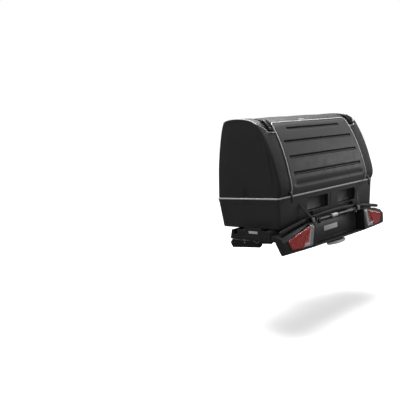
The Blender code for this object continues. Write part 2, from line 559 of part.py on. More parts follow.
boolean(cup, "DIFFERENCE", prism("cut_socket", [(BALL_R * 1.04 * cos(2 * pi * i / 28),
                                                 BALL_AHEAD + BALL_R * 1.04 * sin(2 * pi * i / 28))
                                                for i in range(28)], "Z", -0.30, -0.2180, None, cut=True))
jaw_side = [(0.5460, -0.2140), (0.5620, -0.2140), (0.5740, -0.2300), (0.5742, -0.2560), (0.5700, -0.2620),
            (0.5480, -0.2620), (0.5440, -0.2400)]
jaw = prism("clamp_jaw", jaw_side, "X", -0.0300, 0.0300, ZINC, pivot=(0.0, JAW_Y, JAW_Z))
boolean(jaw, "DIFFERENCE", prism("cut_jaw_pin", x_circle(JAW_Y, JAW_Z, PIN_R + 0.0006, 12), "X", -0.05, 0.05, None,
                                 cut=True))

# ---- clamp lever, lying back at 45 degrees; its grip and key barrel at the far end
LEVER = (0.0, LEVER_Y, LEVER_Z)
back, up = Vector((0, -1, 0)), Vector((0, 0, 1))
along = (back + up).normalized()
across = (up - back).normalized()


def on_lever(a, c):
    p = Vector(LEVER) + along * a + across * c
    return (p.y, p.z)


lever_side = [on_lever(-0.012, -0.008), on_lever(0.178, -0.008), on_lever(0.178, 0.008), on_lever(0.020, 0.008),
              on_lever(0.008, 0.014), on_lever(-0.008, 0.014), on_lever(-0.014, 0.004)]
arm = prism("clamp_lever", lever_side, "X", -0.0180, 0.0180, FRAME_STEEL, pivot=LEVER)
boolean(arm, "DIFFERENCE", prism("cut_lever_pin", x_circle(LEVER_Y, LEVER_Z, PIN_R + 0.0006, 16), "X", -0.05, 0.05,
                                 None, cut=True))
grip_side = [on_lever(0.1785, -0.0140), on_lever(0.2080, -0.0150), on_lever(0.2160, 0.0), on_lever(0.2080, 0.0150),
             on_lever(0.1785, 0.0140)]
grip = prism("lever_grip", grip_side, "X", -0.0480, 0.0480, BUCKLE_PLASTIC, pivot=LEVER)
barrel_a = Vector((0.0300, 0, 0)) + Vector(LEVER) + along * 0.1930
barrel_y, barrel_z = barrel_a.y, barrel_a.z
boolean(grip, "DIFFERENCE", rod("cut_barrel", tuple(barrel_a + across * 0.0040), tuple(barrel_a + across * 0.0300),
                                0.0066, None, sides=12, cut=True))
rod("lock_barrel", tuple(barrel_a + across * 0.0044), tuple(barrel_a + across * 0.0175), 0.0060, ZINC, sides=12,
    pivot=tuple(barrel_a + across * 0.0044))
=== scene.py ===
"""Looks for the tow-ball cargo carrier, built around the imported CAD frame.

Shapes are laid out in the cargo box's own frame (origin at the middle of the tub's
underside) and moved by OFF into the row frame, whose origin is the tow ball.
"""
import json
from math import atan2, cos, pi, radians, sin, sqrt

import bmesh
import bpy
import numpy as np
from mathutils import Matrix, Vector, noise

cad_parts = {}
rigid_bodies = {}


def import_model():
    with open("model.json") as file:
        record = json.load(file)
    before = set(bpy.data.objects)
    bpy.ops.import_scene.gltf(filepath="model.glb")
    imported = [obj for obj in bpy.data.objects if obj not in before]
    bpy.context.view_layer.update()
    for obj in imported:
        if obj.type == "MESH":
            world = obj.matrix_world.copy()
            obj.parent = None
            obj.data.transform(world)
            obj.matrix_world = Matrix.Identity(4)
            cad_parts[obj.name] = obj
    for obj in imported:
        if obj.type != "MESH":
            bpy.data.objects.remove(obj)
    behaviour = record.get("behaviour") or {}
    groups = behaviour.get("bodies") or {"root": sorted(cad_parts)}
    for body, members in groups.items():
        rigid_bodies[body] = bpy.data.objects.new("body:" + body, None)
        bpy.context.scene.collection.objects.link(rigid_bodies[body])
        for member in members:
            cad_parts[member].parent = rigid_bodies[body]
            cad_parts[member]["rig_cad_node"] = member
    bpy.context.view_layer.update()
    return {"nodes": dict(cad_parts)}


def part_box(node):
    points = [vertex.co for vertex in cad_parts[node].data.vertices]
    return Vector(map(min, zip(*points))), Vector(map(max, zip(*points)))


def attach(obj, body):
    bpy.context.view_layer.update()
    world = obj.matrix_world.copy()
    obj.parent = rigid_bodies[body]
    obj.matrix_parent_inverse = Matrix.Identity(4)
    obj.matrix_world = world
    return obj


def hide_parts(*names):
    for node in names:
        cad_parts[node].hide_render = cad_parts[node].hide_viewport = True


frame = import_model()
OFF = Vector((0.0, -0.600, 0.245))
NODES = frame["nodes"]

# the startup scene's own cube, lamp and camera don't belong here
for _o in list(bpy.data.objects):
    if _o.name in ("Cube", "Light", "Camera") and "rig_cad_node" not in _o:
        bpy.data.objects.remove(_o, do_unlink=True)

# ---------------------------------------------------------------- shape constants (box frame, metres)
FRONT = [(0.2580, 0.1970), (0.2440, 0.300), (0.2225, 0.420), (0.1900, 0.550), (0.1600, 0.641), (0.1400, 0.677)]
ROOF = [(0.1200, 0.6880), (0.0800, 0.6935), (0.0190, 0.6920), (-0.0480, 0.6825), (-0.0960, 0.6690),
        (-0.1180, 0.6595)]
LID = [(-0.1430, 0.6437), (-0.1620, 0.6220), (-0.1820, 0.5880), (-0.2060, 0.5400),
       (-0.2360, 0.4620), (-0.2550, 0.4000), (-0.2690, 0.3400), (-0.2800, 0.2850), (-0.2830, 0.2450),
       (-0.2760, 0.2130), (-0.2660, 0.1970)]
SIDE = 0.515
TUB_TOP = 0.186
HINGE_Y, HINGE_Z = -0.1400, 0.6459
SEAM_Z = 0.587                      # where the shoulder's seam crosses from the side to the lid
FAN = (0.0, 0.1970)                 # middle of the shell's lower edge


# ================================================================ small tools
def smoothstep(t):
    t = max(0.0, min(1.0, t))
    return t * t * (3 - 2 * t)


class Profile:
    """A smooth (y, z) curve through points, by arc length. Its right-hand side is the box's inside."""

    def __init__(self, pts, step=0.002):
        p = np.array(pts, float)
        d = np.sqrt(((p[1:] - p[:-1]) ** 2).sum(1))
        t = np.concatenate([[0], np.cumsum(np.sqrt(d))])      # centripetal
        m = np.zeros_like(p)
        m[1:-1] = ((p[1:-1] - p[:-2]) / (t[1:-1] - t[:-2])[:, None] - (p[2:] - p[:-2]) / (t[2:] - t[:-2])[:, None]
                   + (p[2:] - p[1:-1]) / (t[2:] - t[1:-1])[:, None])
        m[0] = (p[1] - p[0]) / (t[1] - t[0])
        m[-1] = (p[-1] - p[-2]) / (t[-1] - t[-2])
        out = []
        for i in range(len(p) - 1):
            h = t[i + 1] - t[i]
            n = max(4, int(d[i] / step))
            for k in range(n):
                u = k / n
                out.append((2 * u**3 - 3 * u**2 + 1) * p[i] + (u**3 - 2 * u**2 + u) * h * m[i]
                           + (-2 * u**3 + 3 * u**2) * p[i + 1] + (u**3 - u**2) * h * m[i + 1])
        out.append(p[-1])
        self.p = np.array(out)
        seg = np.sqrt(((self.p[1:] - self.p[:-1]) ** 2).sum(1))
        self.s = np.concatenate([[0], np.cumsum(seg)])
        self.length = float(self.s[-1])

    def at(self, s):
        return (float(np.interp(s, self.s, self.p[:, 0])), float(np.interp(s, self.s, self.p[:, 1])))

    def normal(self, s):
        e = 0.004
        y0, z0 = self.at(max(0.0, s - e))
        y1, z1 = self.at(min(self.length, s + e))
        n = sqrt((y1 - y0) ** 2 + (z1 - z0) ** 2)
        return ((z1 - z0) / n, -(y1 - y0) / n)

    def s_of_z(self, z, after=0.0):
        """Arc length where the curve comes down through height z."""
        keep = self.s >= after
        return float(np.interp(-z, -self.p[keep, 1], self.s[keep]))


SHELL = Profile(FRONT + ROOF + LID)
S_TOP = float(SHELL.s[np.argmax(SHELL.p[:, 1])])
S_FRONT_TOP = float(SHELL.s[np.argmin(np.abs(SHELL.p[:, 0] - 0.140) + (SHELL.p[:, 1] < 0.6) * 9)])
S_HINGE = SHELL.s_of_z(HINGE_Z, S_TOP)
S_SEAM = SHELL.s_of_z(SEAM_Z, S_TOP)


def lid_half(z):
    """Half width of the lid at a height: it narrows a little towards the top."""
    t = (z - 0.197) / (0.646 - 0.197)
    return 0.4060 - 0.0180 * max(0.0, min(1.0, t)) ** 1.3


def corner_r(s):
    """Radius of the shell's long edges."""
    y, z = SHELL.at(s)
    if s < S_TOP:
        return 0.0160 - 0.0060 * smoothstep((z - 0.25) / 0.20)
    return 0.0100 + 0.0060 * smoothstep((0.640 - z) / 0.090)


def drift(s):
    """How far the seam between side and roof cloth has moved inwards on its way down the shoulder."""
    return 0.036 * smoothstep((s - S_HINGE) / (S_SEAM - S_HINGE - 0.010)) if s < S_SEAM + 1e-6 else 0.0


def over(s, l, lift=0.0):
    """Point of the shell: s along its profile, l from the side face inwards over the rounded edge (positive x side)."""
    r = corner_r(s)
    quarter = r * pi / 2
    y, z = SHELL.at(s)
    ny, nz = SHELL.normal(s)
    if l < 0:
        return Vector((SIDE + lift, y - ny * (r - l), z - nz * (r - l)))
    if l < quarter:
        a = pi / 2 - l / r
        d = r * (1 - cos(a)) - lift * cos(a)
        return Vector((SIDE - r + (r + lift) * sin(a), y - ny * d, z - nz * d))
    return Vector((SIDE - r - (l - quarter), y + ny * lift, z + nz * lift))


def new_object(name, verts, faces, mats, smooth=True, sharp=38.0):
    mesh = bpy.data.meshes.new(name)
    mesh.from_pydata([tuple(Vector(v) + OFF) for v in verts], [], faces)
    mesh.validate()
    for m in mats if isinstance(mats, (list, tuple)) else [mats]:
        mesh.materials.append(m)
    if smooth:
        mesh.shade_smooth()
        mesh.set_sharp_from_angle(angle=radians(sharp))
    obj = bpy.data.objects.new(name, mesh)
    bpy.context.scene.collection.objects.link(obj)
    return obj


def place(obj, body, stands_for=()):
    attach(obj, body)
    if stands_for:
        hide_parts(*([stands_for] if isinstance(stands_for, str) else stands_for))
    return obj


def grid(rows, closed_rows=False, closed_cols=False):
    """Vertices and quads of a grid of points."""
    n, m = len(rows), len(rows[0])
    verts = [p for row in rows for p in row]
    faces = []
    for i in range(n if closed_rows else n - 1):
        for j in range(m if closed_cols else m - 1):
            a, b = i * m + j, i * m + (j + 1) % m
            c, d = ((i + 1) % n) * m + (j + 1) % m, ((i + 1) % n) * m + j
            faces.append((a, b, c, d))
    return verts, faces


def clean(obj, ref=None, merge=1e-5):
    """Merges coincident points, drops zero faces, and turns the faces outward (away from ref where given)."""
    bm = bmesh.new()
    bm.from_mesh(obj.data)
    bmesh.ops.remove_doubles(bm, verts=bm.verts[:], dist=merge)
    bmesh.ops.dissolve_degenerate(bm, edges=bm.edges[:], dist=1e-6)
    bmesh.ops.recalc_face_normals(bm, faces=bm.faces[:])
    if ref is not None:
        ref = Vector(ref) + OFF
        total = sum(f.normal.dot((f.calc_center_median() - ref)) * f.calc_area() for f in bm.faces)
        if total < 0:
            bmesh.ops.reverse_faces(bm, faces=bm.faces[:])
    bm.to_mesh(obj.data)
    bm.free()
    return obj


def mirrored(obj, name):
    """A copy of the piece on the other side, x to -x."""
    mesh = obj.data.copy()
    mesh.transform(Matrix.Diagonal((-1, 1, 1, 1)))
    mesh.flip_normals()
    twin = bpy.data.objects.new(name, mesh)
    for mod in obj.modifiers:
        made = twin.modifiers.new(mod.name, mod.type)
        for prop in mod.bl_rna.properties:
            if not prop.is_readonly and prop.identifier not in ("name", "type"):
                try:
                    setattr(made, prop.identifier, getattr(mod, prop.identifier))
                except (AttributeError, TypeError):
                    pass
    bpy.context.scene.collection.objects.link(twin)
    return twin


def solidify(obj, t, inner=None, offset=-1.0):
    if inner is not None:
        obj.data.materials.append(inner)
    mod = obj.modifiers.new("thickness", "SOLIDIFY")
    mod.thickness = t
    mod.offset = offset
    mod.use_even_offset = False
    if inner is not None:
        mod.material_offset = 1
    return mod


def bevel(obj, w, segs=2, angle=32.0):
    mod = obj.modifiers.new("edge", "BEVEL")
    mod.width = w
    mod.segments = segs
    mod.limit_method = "ANGLE"
    mod.angle_limit = radians(angle)
    mod.miter_outer = "MITER_ARC"
    mod.harden_normals = True
    return mod


def baked(obj):
    """The piece with its modifiers applied."""
    graph = bpy.context.evaluated_depsgraph_get()
    bpy.context.view_layer.update()
    mesh = bpy.data.meshes.new_from_object(obj.evaluated_get(graph))
    obj.modifiers.clear()
    obj.data = mesh
    return obj


def flats(obj, angle=0.6, sharp=32.0):
    """Joins coplanar triangles into whole faces, so that bevels run cleanly."""
    bm = bmesh.new()
    bm.from_mesh(obj.data)
    bmesh.ops.remove_doubles(bm, verts=bm.verts[:], dist=1e-5)
    bmesh.ops.dissolve_limit(bm, angle_limit=radians(angle), verts=bm.verts[:], edges=bm.edges[:])
    bm.to_mesh(obj.data)
    bm.free()
    obj.data.shade_smooth()
    obj.data.set_sharp_from_angle(angle=radians(sharp))
    return obj


def refine(node, mat, body, w=0.001, segs=2, angle=30.0, name=None):
    """The CAD piece's own shape with worn-in edges: faces joined, edges rounded, its finish applied."""
    src = NODES[node].data
    mesh = bpy.data.meshes.new(name or node + "_finished")
    mesh.from_pydata([tuple(v.co) for v in src.vertices], [], [tuple(p.vertices) for p in src.polygons])
    mesh.materials.append(mat)
    obj = bpy.data.objects.new(name or node + "_finished", mesh)
    bpy.context.scene.collection.objects.link(obj)
    flats(obj, sharp=angle)
    if w:
        bevel(obj, w, segs, angle)
    return place(obj, body, node)


def cut(obj, other, operation="DIFFERENCE"):
    mod = obj.modifiers.new("cut", "BOOLEAN")
    mod.operation = operation
    mod.solver = "EXACT"
    mod.object = other
    return other


def block(lo, hi, r=0.0, segs=3):
    """A box cutter with rounded edges, in the box frame."""
    bm = bmesh.new()
    bmesh.ops.create_cube(bm, size=1.0)
    lo, hi = Vector(lo), Vector(hi)
    for v in bm.verts:
        v.co = Vector(((lo[k] + hi[k]) / 2 + v.co[k] * (hi[k] - lo[k])) for k in range(3)) + OFF
    if r:
        bmesh.ops.bevel(bm, geom=bm.edges[:], offset=r, segments=segs, affect="EDGES", profile=0.5)
    mesh = bpy.data.meshes.new("block")
    bm.to_mesh(mesh)
    bm.free()
    obj = bpy.data.objects.new("block", mesh)
    bpy.context.scene.collection.objects.link(obj)
    return obj


def finish_cuts(obj, cutters):
    baked(obj)
    for c in cutters:
        bpy.data.objects.remove(c, do_unlink=True)
    return obj


def prism(name, outline, axis, a, b, mat, sharp=32.0):
    def at(p, t):
        return {"X": (t, p[0], p[1]), "Y": (p[0], t, p[1]), "Z": (p[0], p[1], t)}[axis]
    n = len(outline)
    verts = [at(p, a) for p in outline] + [at(p, b) for p in outline]
    faces = [(j, (j + 1) % n, n + (j + 1) % n, n + j) for j in range(n)]
    faces += [tuple(reversed(range(n))), tuple(range(n, 2 * n))]
    obj = new_object(name, verts, faces, mat, sharp=sharp)
    return clean(obj)


def rounded(outline, r, segs=4):
    """An outline with its corners rounded."""
    out = []
    n = len(outline)
    for i in range(n):
        p, a, b = Vector(outline[i]), Vector(outline[i - 1]), Vector(outline[(i + 1) % n])
        u, v = (a - p), (b - p)
        lu, lv = u.length, v.length
        u, v = u.normalized(), v.normalized()
        half = 0.5 * u.angle(v)
        if half > radians(86) or half < radians(4):
            out.append(tuple(p))
            continue
        rr = min(r, 0.45 * min(lu, lv) * sin(half) / cos(half))
        d = rr * cos(half) / sin(half)
        c = p + (u + v).normalized() * (rr / sin(half))
        p0, p1 = p + u * d, p + v * d
        a0, a1 = atan2(p0.y - c.y, p0.x - c.x), atan2(p1.y - c.y, p1.x - c.x)
        turn = (a1 - a0 + pi) % (2 * pi) - pi
        for k in range(segs + 1):
            a2 = a0 + turn * k / segs
            out.append((c.x + rr * cos(a2), c.y + rr * sin(a2)))
    return out


def tube(name, path, radius, mat, sides=16, closed=False, caps=True, flat=None, up=None):
    """A round (or, with flat, oval) bar along 3-D points, with its frame carried along without twist."""
    pts = [Vector(p) for p in path]
    n = len(pts)
    rad = radius if hasattr(radius, "__len__") else [radius] * n
    tangents = []
    for i in range(n):
        a = pts[i - 1] if (i or closed) else pts[i]
        b = pts[(i + 1) % n] if (i + 1 < n or closed) else pts[i]
        tangents.append((b - a).normalized())
    ref = Vector(up) if up is not None else tangents[0].orthogonal()
    rings = []
    side = (ref - tangents[0] * ref.dot(tangents[0])).normalized()
    for i in range(n):
        t = tangents[i]
        if up is not None:
            ref = Vector(up)
            cand = ref - t * ref.dot(t)
            if cand.length > 0.2:
                side = cand.normalized()
            else:
                side = (side - t * side.dot(t)).normalized()
        else:
            side = (side - t * side.dot(t)).normalized()
        other = t.cross(side)
        k = flat or 1.0
        rings.append([pts[i] + (side * cos(2 * pi * j / sides) + other * sin(2 * pi * j / sides) * k) * rad[i]
                      for j in range(sides)])
    verts, faces = grid(rings, closed_rows=closed, closed_cols=True)
    if not closed and caps:
        m = len(verts)
        # rounded ends: one smaller ring and a flat cap
        for end, i, way in ((0, 0, -1), (1, n - 1, 1)):
            t = tangents[i] * way
            base = i * sides
            start = len(verts)
            verts += [pts[i] + (verts[base + j] - pts[i]) * 0.72 + t * rad[i] * 0.45 for j in range(sides)]
            for j in range(sides):
                q = (j + 1) % sides
                faces.append((base + j, base + q, start + q, start + j))
            faces.append(tuple(start + j for j in range(sides)))
    obj = new_object(name, verts, faces, mat, sharp=50)
    return clean(obj)


def ring_path(points, step):
    """The same line with points a fixed step apart."""
    p = np.array([tuple(q) for q in points], float)
    d = np.sqrt(((p[1:] - p[:-1]) ** 2).sum(1))
    s = np.concatenate([[0], np.cumsum(d)])
    n = max(2, int(round(s[-1] / step)))
    at = np.linspace(0, s[-1], n + 1)
    return [Vector([float(np.interp(a, s, p[:, k])) for k in range(3)]) for a in at]


def stitches(name, path, normals, mat, pitch=0.0065, length=0.0042, r=0.00055):
    """Thread lying on a surface along a path, one short bead per stitch."""
    p = np.array([tuple(q) for q in path], float)
    q = np.array([tuple(v) for v in normals], float)
    d = np.sqrt(((p[1:] - p[:-1]) ** 2).sum(1))
    s = np.concatenate([[0], np.cumsum(d)])
    verts, faces = [], []
    for k in range(int((s[-1] - length) / pitch)):
        a = k * pitch + 0.5 * length
        c = Vector([float(np.interp(a, s, p[:, i])) for i in range(3)])
        c2 = Vector([float(np.interp(a + 0.001, s, p[:, i])) for i in range(3)])
        nrm = Vector([float(np.interp(a, s, q[:, i])) for i in range(3)]).normalized()
        t = (c2 - c).normalized()
        b = t.cross(nrm).normalized()
        base = len(verts)
        for along, size, dip in ((-0.5, 0.45, -0.7), (-0.25, 1.0, 0.2), (0.25, 1.0, 0.2), (0.5, 0.45, -0.7)):
            for j in range(6):
                an = 2 * pi * j / 6
                verts.append(c + t * along * length + nrm * (dip * r + size * r * sin(an)) + b * size * r * cos(an))
        for i in range(3):
            for j in range(6):
                a0, a1 = base + i * 6 + j, base + i * 6 + (j + 1) % 6
                faces.append((a0, a1, a1 + 6, a0 + 6))
        faces.append(tuple(base + j for j in range(5, -1, -1)))
        faces.append(tuple(base + 18 + j for j in range(6)))
    return clean(new_object(name, verts, faces, mat, sharp=80), merge=1e-7)


def turned(name, profile, centre, axis, mat, sides=32, sharp=35.0):
    """A turned piece: (radius, height) pairs about an axis through centre."""
    axis = Vector(axis).normalized()
    u = axis.orthogonal().normalized()
    v = axis.cross(u)
    c = Vector(centre)
    rings = [[c + axis * h + (u * cos(2 * pi * j / sides) + v * sin(2 * pi * j / sides)) * max(r, 1e-5)
              for j in range(sides)] for r, h in profile]
    verts, faces = grid(rings, closed_cols=True)
    faces.append(tuple(range(sides)))
    last = (len(rings) - 1) * sides
    faces.append(tuple(last + j for j in range(sides)))
    return clean(new_object(name, verts, faces, mat, sharp=sharp))


def joined(name, objs):
    """One object from several, keeping each one's material."""
    mats, bm = [], bmesh.new()
    for o in objs:
        graph = bpy.context.evaluated_depsgraph_get()
        mesh = bpy.data.meshes.new_from_object(o.evaluated_get(graph)) if o.modifiers else o.data.copy()
        idx = []
        for m in mesh.materials:
            if m not in mats:
                mats.append(m)
            idx.append(mats.index(m))
        for p in mesh.polygons:
            p.material_index = idx[p.material_index] if idx else 0
        bm.from_mesh(mesh)
        bpy.data.meshes.remove(mesh)
    mesh = bpy.data.meshes.new(name)
    bm.to_mesh(mesh)
    bm.free()
    for m in mats:
        mesh.materials.append(m)
    mesh.shade_smooth()
    mesh.set_sharp_from_angle(angle=radians(36))
    for o in objs:
        bpy.data.objects.remove(o, do_unlink=True)
    obj = bpy.data.objects.new(name, mesh)
    bpy.context.scene.collection.objects.link(obj)
    return obj


def bolt(name, centre, axis, mat, r=0.0065, h=0.0048):
    """A flange-head screw: washer face, hexagon, and a socket."""
    axis = Vector(axis).normalized()
    u = axis.orthogonal().normalized()
    v = axis.cross(u)
    c = Vector(centre)
    flange = turned(name + "_f", [(r * 1.30, 0.0), (r * 1.34, 0.0006), (r * 1.05, 0.0014), (r * 0.6, 0.0016)], c, axis, mat, 28)
    rings = []
    for rr, hh in ((1.0, 0.001), (1.0, h - 0.0008), (0.90, h), (0.62, h), (0.55, h - 0.0006), (0.52, h - 0.0022)):
        rings.append([c + axis * hh + (u * cos(pi * j / 3 + 0.2) + v * sin(pi * j / 3 + 0.2)) * r * rr for j in range(6)])
    verts, faces = grid(rings, closed_cols=True)
    faces.append(tuple(range(6)))
    faces.append(tuple(30 + j for j in range(6)))
    head = clean(new_object(name + "_h", verts, faces, mat, sharp=20))
    return joined(name, [flange, head])


# ================================================================ materials
class Mat:
    """A procedural material in object coordinates, which at rest are the row frame's metres."""

    def __init__(self, name, colour, rough, metal=0.0, **kw):
        self.m = bpy.data.materials.new(name)
        self.m.use_nodes = True
        self.t = self.m.node_tree
        self.b = self.t.nodes["Principled BSDF"]
        self.b.inputs["Base Color"].default_value = (*colour, 1)
        self.b.inputs["Roughness"].default_value = rough
        self.b.inputs["Metallic"].default_value = metal
        for key, value in kw.items():
            self.b.inputs[key.replace("_", " ")].default_value = value
        self.m.diffuse_color = (*colour, 1)
        self.colour, self.rough = colour, rough
        self.tc = self.t.nodes.new("ShaderNodeTexCoord")
        self.height = None

    def node(self, kind, **inputs):
        n = self.t.nodes.new(kind)
        for key, value in inputs.items():
            if hasattr(value, "is_output"):
                self.t.links.new(value, n.inputs[key])
            else:
                n.inputs[key].default_value = value
        return n

    def math(self, op, a, b=0.0, c=0.0):
        n = self.t.nodes.new("ShaderNodeMath")
        n.operation = op
        for i, v in enumerate((a, b, c)):
            if hasattr(v, "is_output"):
                self.t.links.new(v, n.inputs[i])
            else:
                n.inputs[i].default_value = v
        return n.outputs[0]

    def scaled(self, x, y, z):
        n = self.node("ShaderNodeMapping")
        self.t.links.new(self.tc.outputs["Object"], n.inputs["Vector"])
        n.inputs["Scale"].default_value = (x, y, z)
        return n.outputs[0]

    def noise(self, scale, detail=3.0, rough=0.55, vector=None):
        n = self.node("ShaderNodeTexNoise", Scale=scale, Detail=detail, Roughness=rough)
        self.t.links.new(vector or self.tc.outputs["Object"], n.inputs["Vector"])
        return n.outputs["Fac"]

    def cells(self, scale, vector=None, feature="F1"):
        n = self.node("ShaderNodeTexVoronoi", Scale=scale)
        n.feature = feature
        self.t.links.new(vector or self.tc.outputs["Object"], n.inputs["Vector"])
        return n.outputs["Distance"]

    def ramp(self, fac, lo, hi, a=0.0, b=1.0):
        """fac from lo..hi mapped to a..b, clamped."""
        n = self.t.nodes.new("ShaderNodeMapRange")
        self.t.links.new(fac, n.inputs[0])
        for i, v in ((1, lo), (2, hi), (3, a), (4, b)):
            n.inputs[i].default_value = v
        return n.outputs[0]

    def tint(self, fac, other):
        """Base colour runs from the material's own to other by fac; calls stack."""
        n = self.t.nodes.new("ShaderNodeMix")
        n.data_type = "RGBA"
        self.t.links.new(fac, n.inputs[0])
        link = self.b.inputs["Base Color"].links
        if link:
            self.t.links.new(link[0].from_socket, n.inputs[6])
        else:
            n.inputs[6].default_value = (*self.colour, 1)
        n.inputs[7].default_value = (*other, 1)
        self.t.links.new(n.outputs[2], self.b.inputs["Base Color"])
        return self

    def roughness(self, fac, a, b, lo=0.3, hi=0.7):
        self.t.links.new(self.ramp(fac, lo, hi, a, b), self.b.inputs["Roughness"])
        return self

    def bump(self, height, depth, strength=1.0):
        """Adds a relief of the given depth in metres; calls stack."""
        n = self.t.nodes.new("ShaderNodeBump")
        n.inputs["Strength"].default_value = strength
        n.inputs["Distance"].default_value = depth
        self.t.links.new(height, n.inputs["Height"])
        link = self.b.inputs["Normal"].links
        if link:
            self.t.links.new(link[0].from_socket, n.inputs["Normal"])
        self.t.links.new(n.outputs[0], self.b.inputs["Normal"])
        return self

    def wear(self, colour, amount=0.5, at=0.56):
        """Lighter rubbed edges."""
        g = self.t.nodes.new("ShaderNodeNewGeometry")
        edge = self.ramp(g.outputs["Pointiness"], at, at + 0.07, 0.0, 1.0)
        broken = self.math("MULTIPLY", edge, self.ramp(self.noise(60.0, 4.0), 0.42, 0.62, 0.0, amount))
        return self.tint(broken, colour)

    def weave(self, pitch):
        """Height of a plain weave: threads cross in the plane that the surface faces."""
        sep = self.t.nodes.new("ShaderNodeSeparateXYZ")
        self.t.links.new(self.tc.outputs["Object"], sep.inputs[0])
        nrm = self.t.nodes.new("ShaderNodeSeparateXYZ")
        self.t.links.new(self.tc.outputs["Normal"], nrm.inputs[0])
        k = 2 * pi / pitch
        s = [self.math("SINE", self.math("MULTIPLY", sep.outputs[i], k)) for i in range(3)]
        total = None
        for i in range(3):
            j, l = (i + 1) % 3, (i + 2) % 3
            face = self.math("POWER", self.math("ABSOLUTE", nrm.outputs[i]), 3.0)
            term = self.math("MULTIPLY", face, self.math("MULTIPLY", s[j], s[l]))
            total = term if total is None else self.math("ADD", total, term)
        return self.math("MULTIPLY_ADD", total, 0.5, 0.5)

    def ribs(self, axis, pitch):
        sep = self.t.nodes.new("ShaderNodeSeparateXYZ")
        self.t.links.new(self.tc.outputs["Object"], sep.inputs[0])
        return self.math("MULTIPLY_ADD", self.math("SINE", self.math("MULTIPLY", sep.outputs[axis], 2 * pi / pitch)),
                         0.5, 0.5)


def moulded(name, colour, rough, grain=0.00009, cell=1100.0, wear=0.35, spec=0.45):
    """Injection-moulded plastic: fine leather grain, soft mottling, rubbed edges."""
    m = Mat(name, colour, rough, Specular_IOR_Level=spec)
    mottle = m.noise(7.0, 4.0)
    m.tint(m.ramp(mottle, 0.35, 0.75, 0.0, 0.45), tuple(min(1, c * 1.55 + 0.002) for c in colour))
    m.roughness(m.noise(22.0, 5.0, 0.6), rough - 0.06, rough + 0.10)
    m.bump(m.cells(cell), grain, 0.55)
    m.bump(m.noise(38.0, 3.0), 0.00035, 0.25)
    if wear:
        m.wear(tuple(min(1, c * 3.2 + 0.02) for c in colour), wear)
    return m.m


def woven(name, colour, rough, pitch=0.0013, sheen=0.25, depth=0.00010, spec=0.35):
    """Coated woven fabric stretched over a stiff foam core."""
    m = Mat(name, colour, rough, Specular_IOR_Level=spec)
    m.b.inputs["Sheen Weight"].default_value = sheen
    m.b.inputs["Sheen Roughness"].default_value = 0.45
    m.tint(m.ramp(m.noise(4.5, 5.0, 0.6), 0.35, 0.75, 0.0, 0.5), tuple(min(1, c * 1.5 + 0.003) for c in colour))
    m.tint(m.ramp(m.weave(pitch), 0.2, 0.9, 0.45, 0.0), tuple(c * 0.55 for c in colour))
    m.roughness(m.noise(30.0, 4.0), rough - 0.05, min(1.0, rough + 0.08))
    m.bump(m.weave(pitch), depth, 0.7)
    m.bump(m.noise(16.0, 4.0, 0.5), 0.0012, 0.22)
    return m.m


# painted shade: roof and sides are the same cloth; the roof's copy is made much darker than the sides' to stand in for
# the overhead light falling on the top
SHELL_FABRIC = woven("shell_fabric", (0.0310, 0.0310, 0.0315), 0.66, sheen=0.12, spec=0.10)
ROOF_FABRIC_SHADED = woven("roof_fabric", (0.0085, 0.0085, 0.0090), 0.50, sheen=0.12, spec=0.22)
LINING = woven("lining", (0.045, 0.045, 0.048), 0.85, pitch=0.0022, sheen=0.1, spec=0.2)


def lid_skin():
    m = Mat("lid_skin", (0.0410, 0.0410, 0.0425), 0.50, Specular_IOR_Level=0.20)
    m.b.inputs["Sheen Weight"].default_value = 0.08
    m.tint(m.ramp(m.noise(5.0, 5.0, 0.6), 0.35, 0.75, 0.0, 0.5), (0.050, 0.050, 0.052))
    m.roughness(m.noise(26.0, 4.0), 0.46, 0.58)
    m.bump(m.cells(760.0), 0.00016, 0.5)
    m.bump(m.noise(320.0, 2.0), 0.00010, 0.4)
    m.bump(m.noise(9.0, 3.0, 0.5), 0.0010, 0.20)
    return m.m


LID_SKIN = lid_skin()


def channel_skin():
    """Painted shade for the lid's channels: a near-black copy of the lid's skin for each channel's upper wall, ends and
    lower crease, where shade falls.
    """
    m = Mat("channel_skin", (0.0060, 0.0060, 0.0063), 0.60, Specular_IOR_Level=0.12)
    m.tint(m.ramp(m.noise(90.0, 3.0), 0.4, 0.7, 0.0, 0.5), (0.0085, 0.0085, 0.009))
    m.roughness(m.noise(60.0, 3.0), 0.55, 0.70)
    m.bump(m.cells(900.0), 0.00012, 0.5)
    return m.m


# painted shade that darkens the lid's channels
CHANNEL_PAINTED_SHADE = channel_skin()


def piping_cloth():
    m = Mat("piping_cloth", (0.74, 0.74, 0.74), 0.50, Specular_IOR_Level=0.5)
    m.tint(m.ramp(m.noise(60.0, 4.0), 0.35, 0.75, 0.0, 0.5), (0.58, 0.58, 0.585))
    m.tint(m.ramp(m.weave(0.0011), 0.15, 0.8, 0.3, 0.0), (0.36, 0.36, 0.365))
    m.roughness(m.noise(90.0, 2.0), 0.45, 0.68)
    m.bump(m.weave(0.0011), 0.00012, 0.7)
    return m.m


PIPING = piping_cloth()
TUB_PLASTIC = moulded("tub_plastic", (0.0205, 0.0205, 0.0210), 0.46, spec=0.38)
PLATFORM_PLASTIC = moulded("platform_plastic", (0.0175, 0.0175, 0.0180), 0.44, grain=0.00007, cell=1500.0, spec=0.24)
# painted light: the number-plate board is the platform's plastic in a twice as light copy, standing in for light that
# the board lacks in the shade of the handle and arched bar
BOARD_PLASTIC_LIT = moulded("board_plastic", (0.0380, 0.0380, 0.0385), 0.44, grain=0.00007, cell=1500.0, spec=0.30)
BUCKLE_PLASTIC = moulded("buckle_plastic", (0.0050, 0.0050, 0.0053), 0.34, grain=0.00004, cell=2200.0, wear=0.25, spec=0.25)
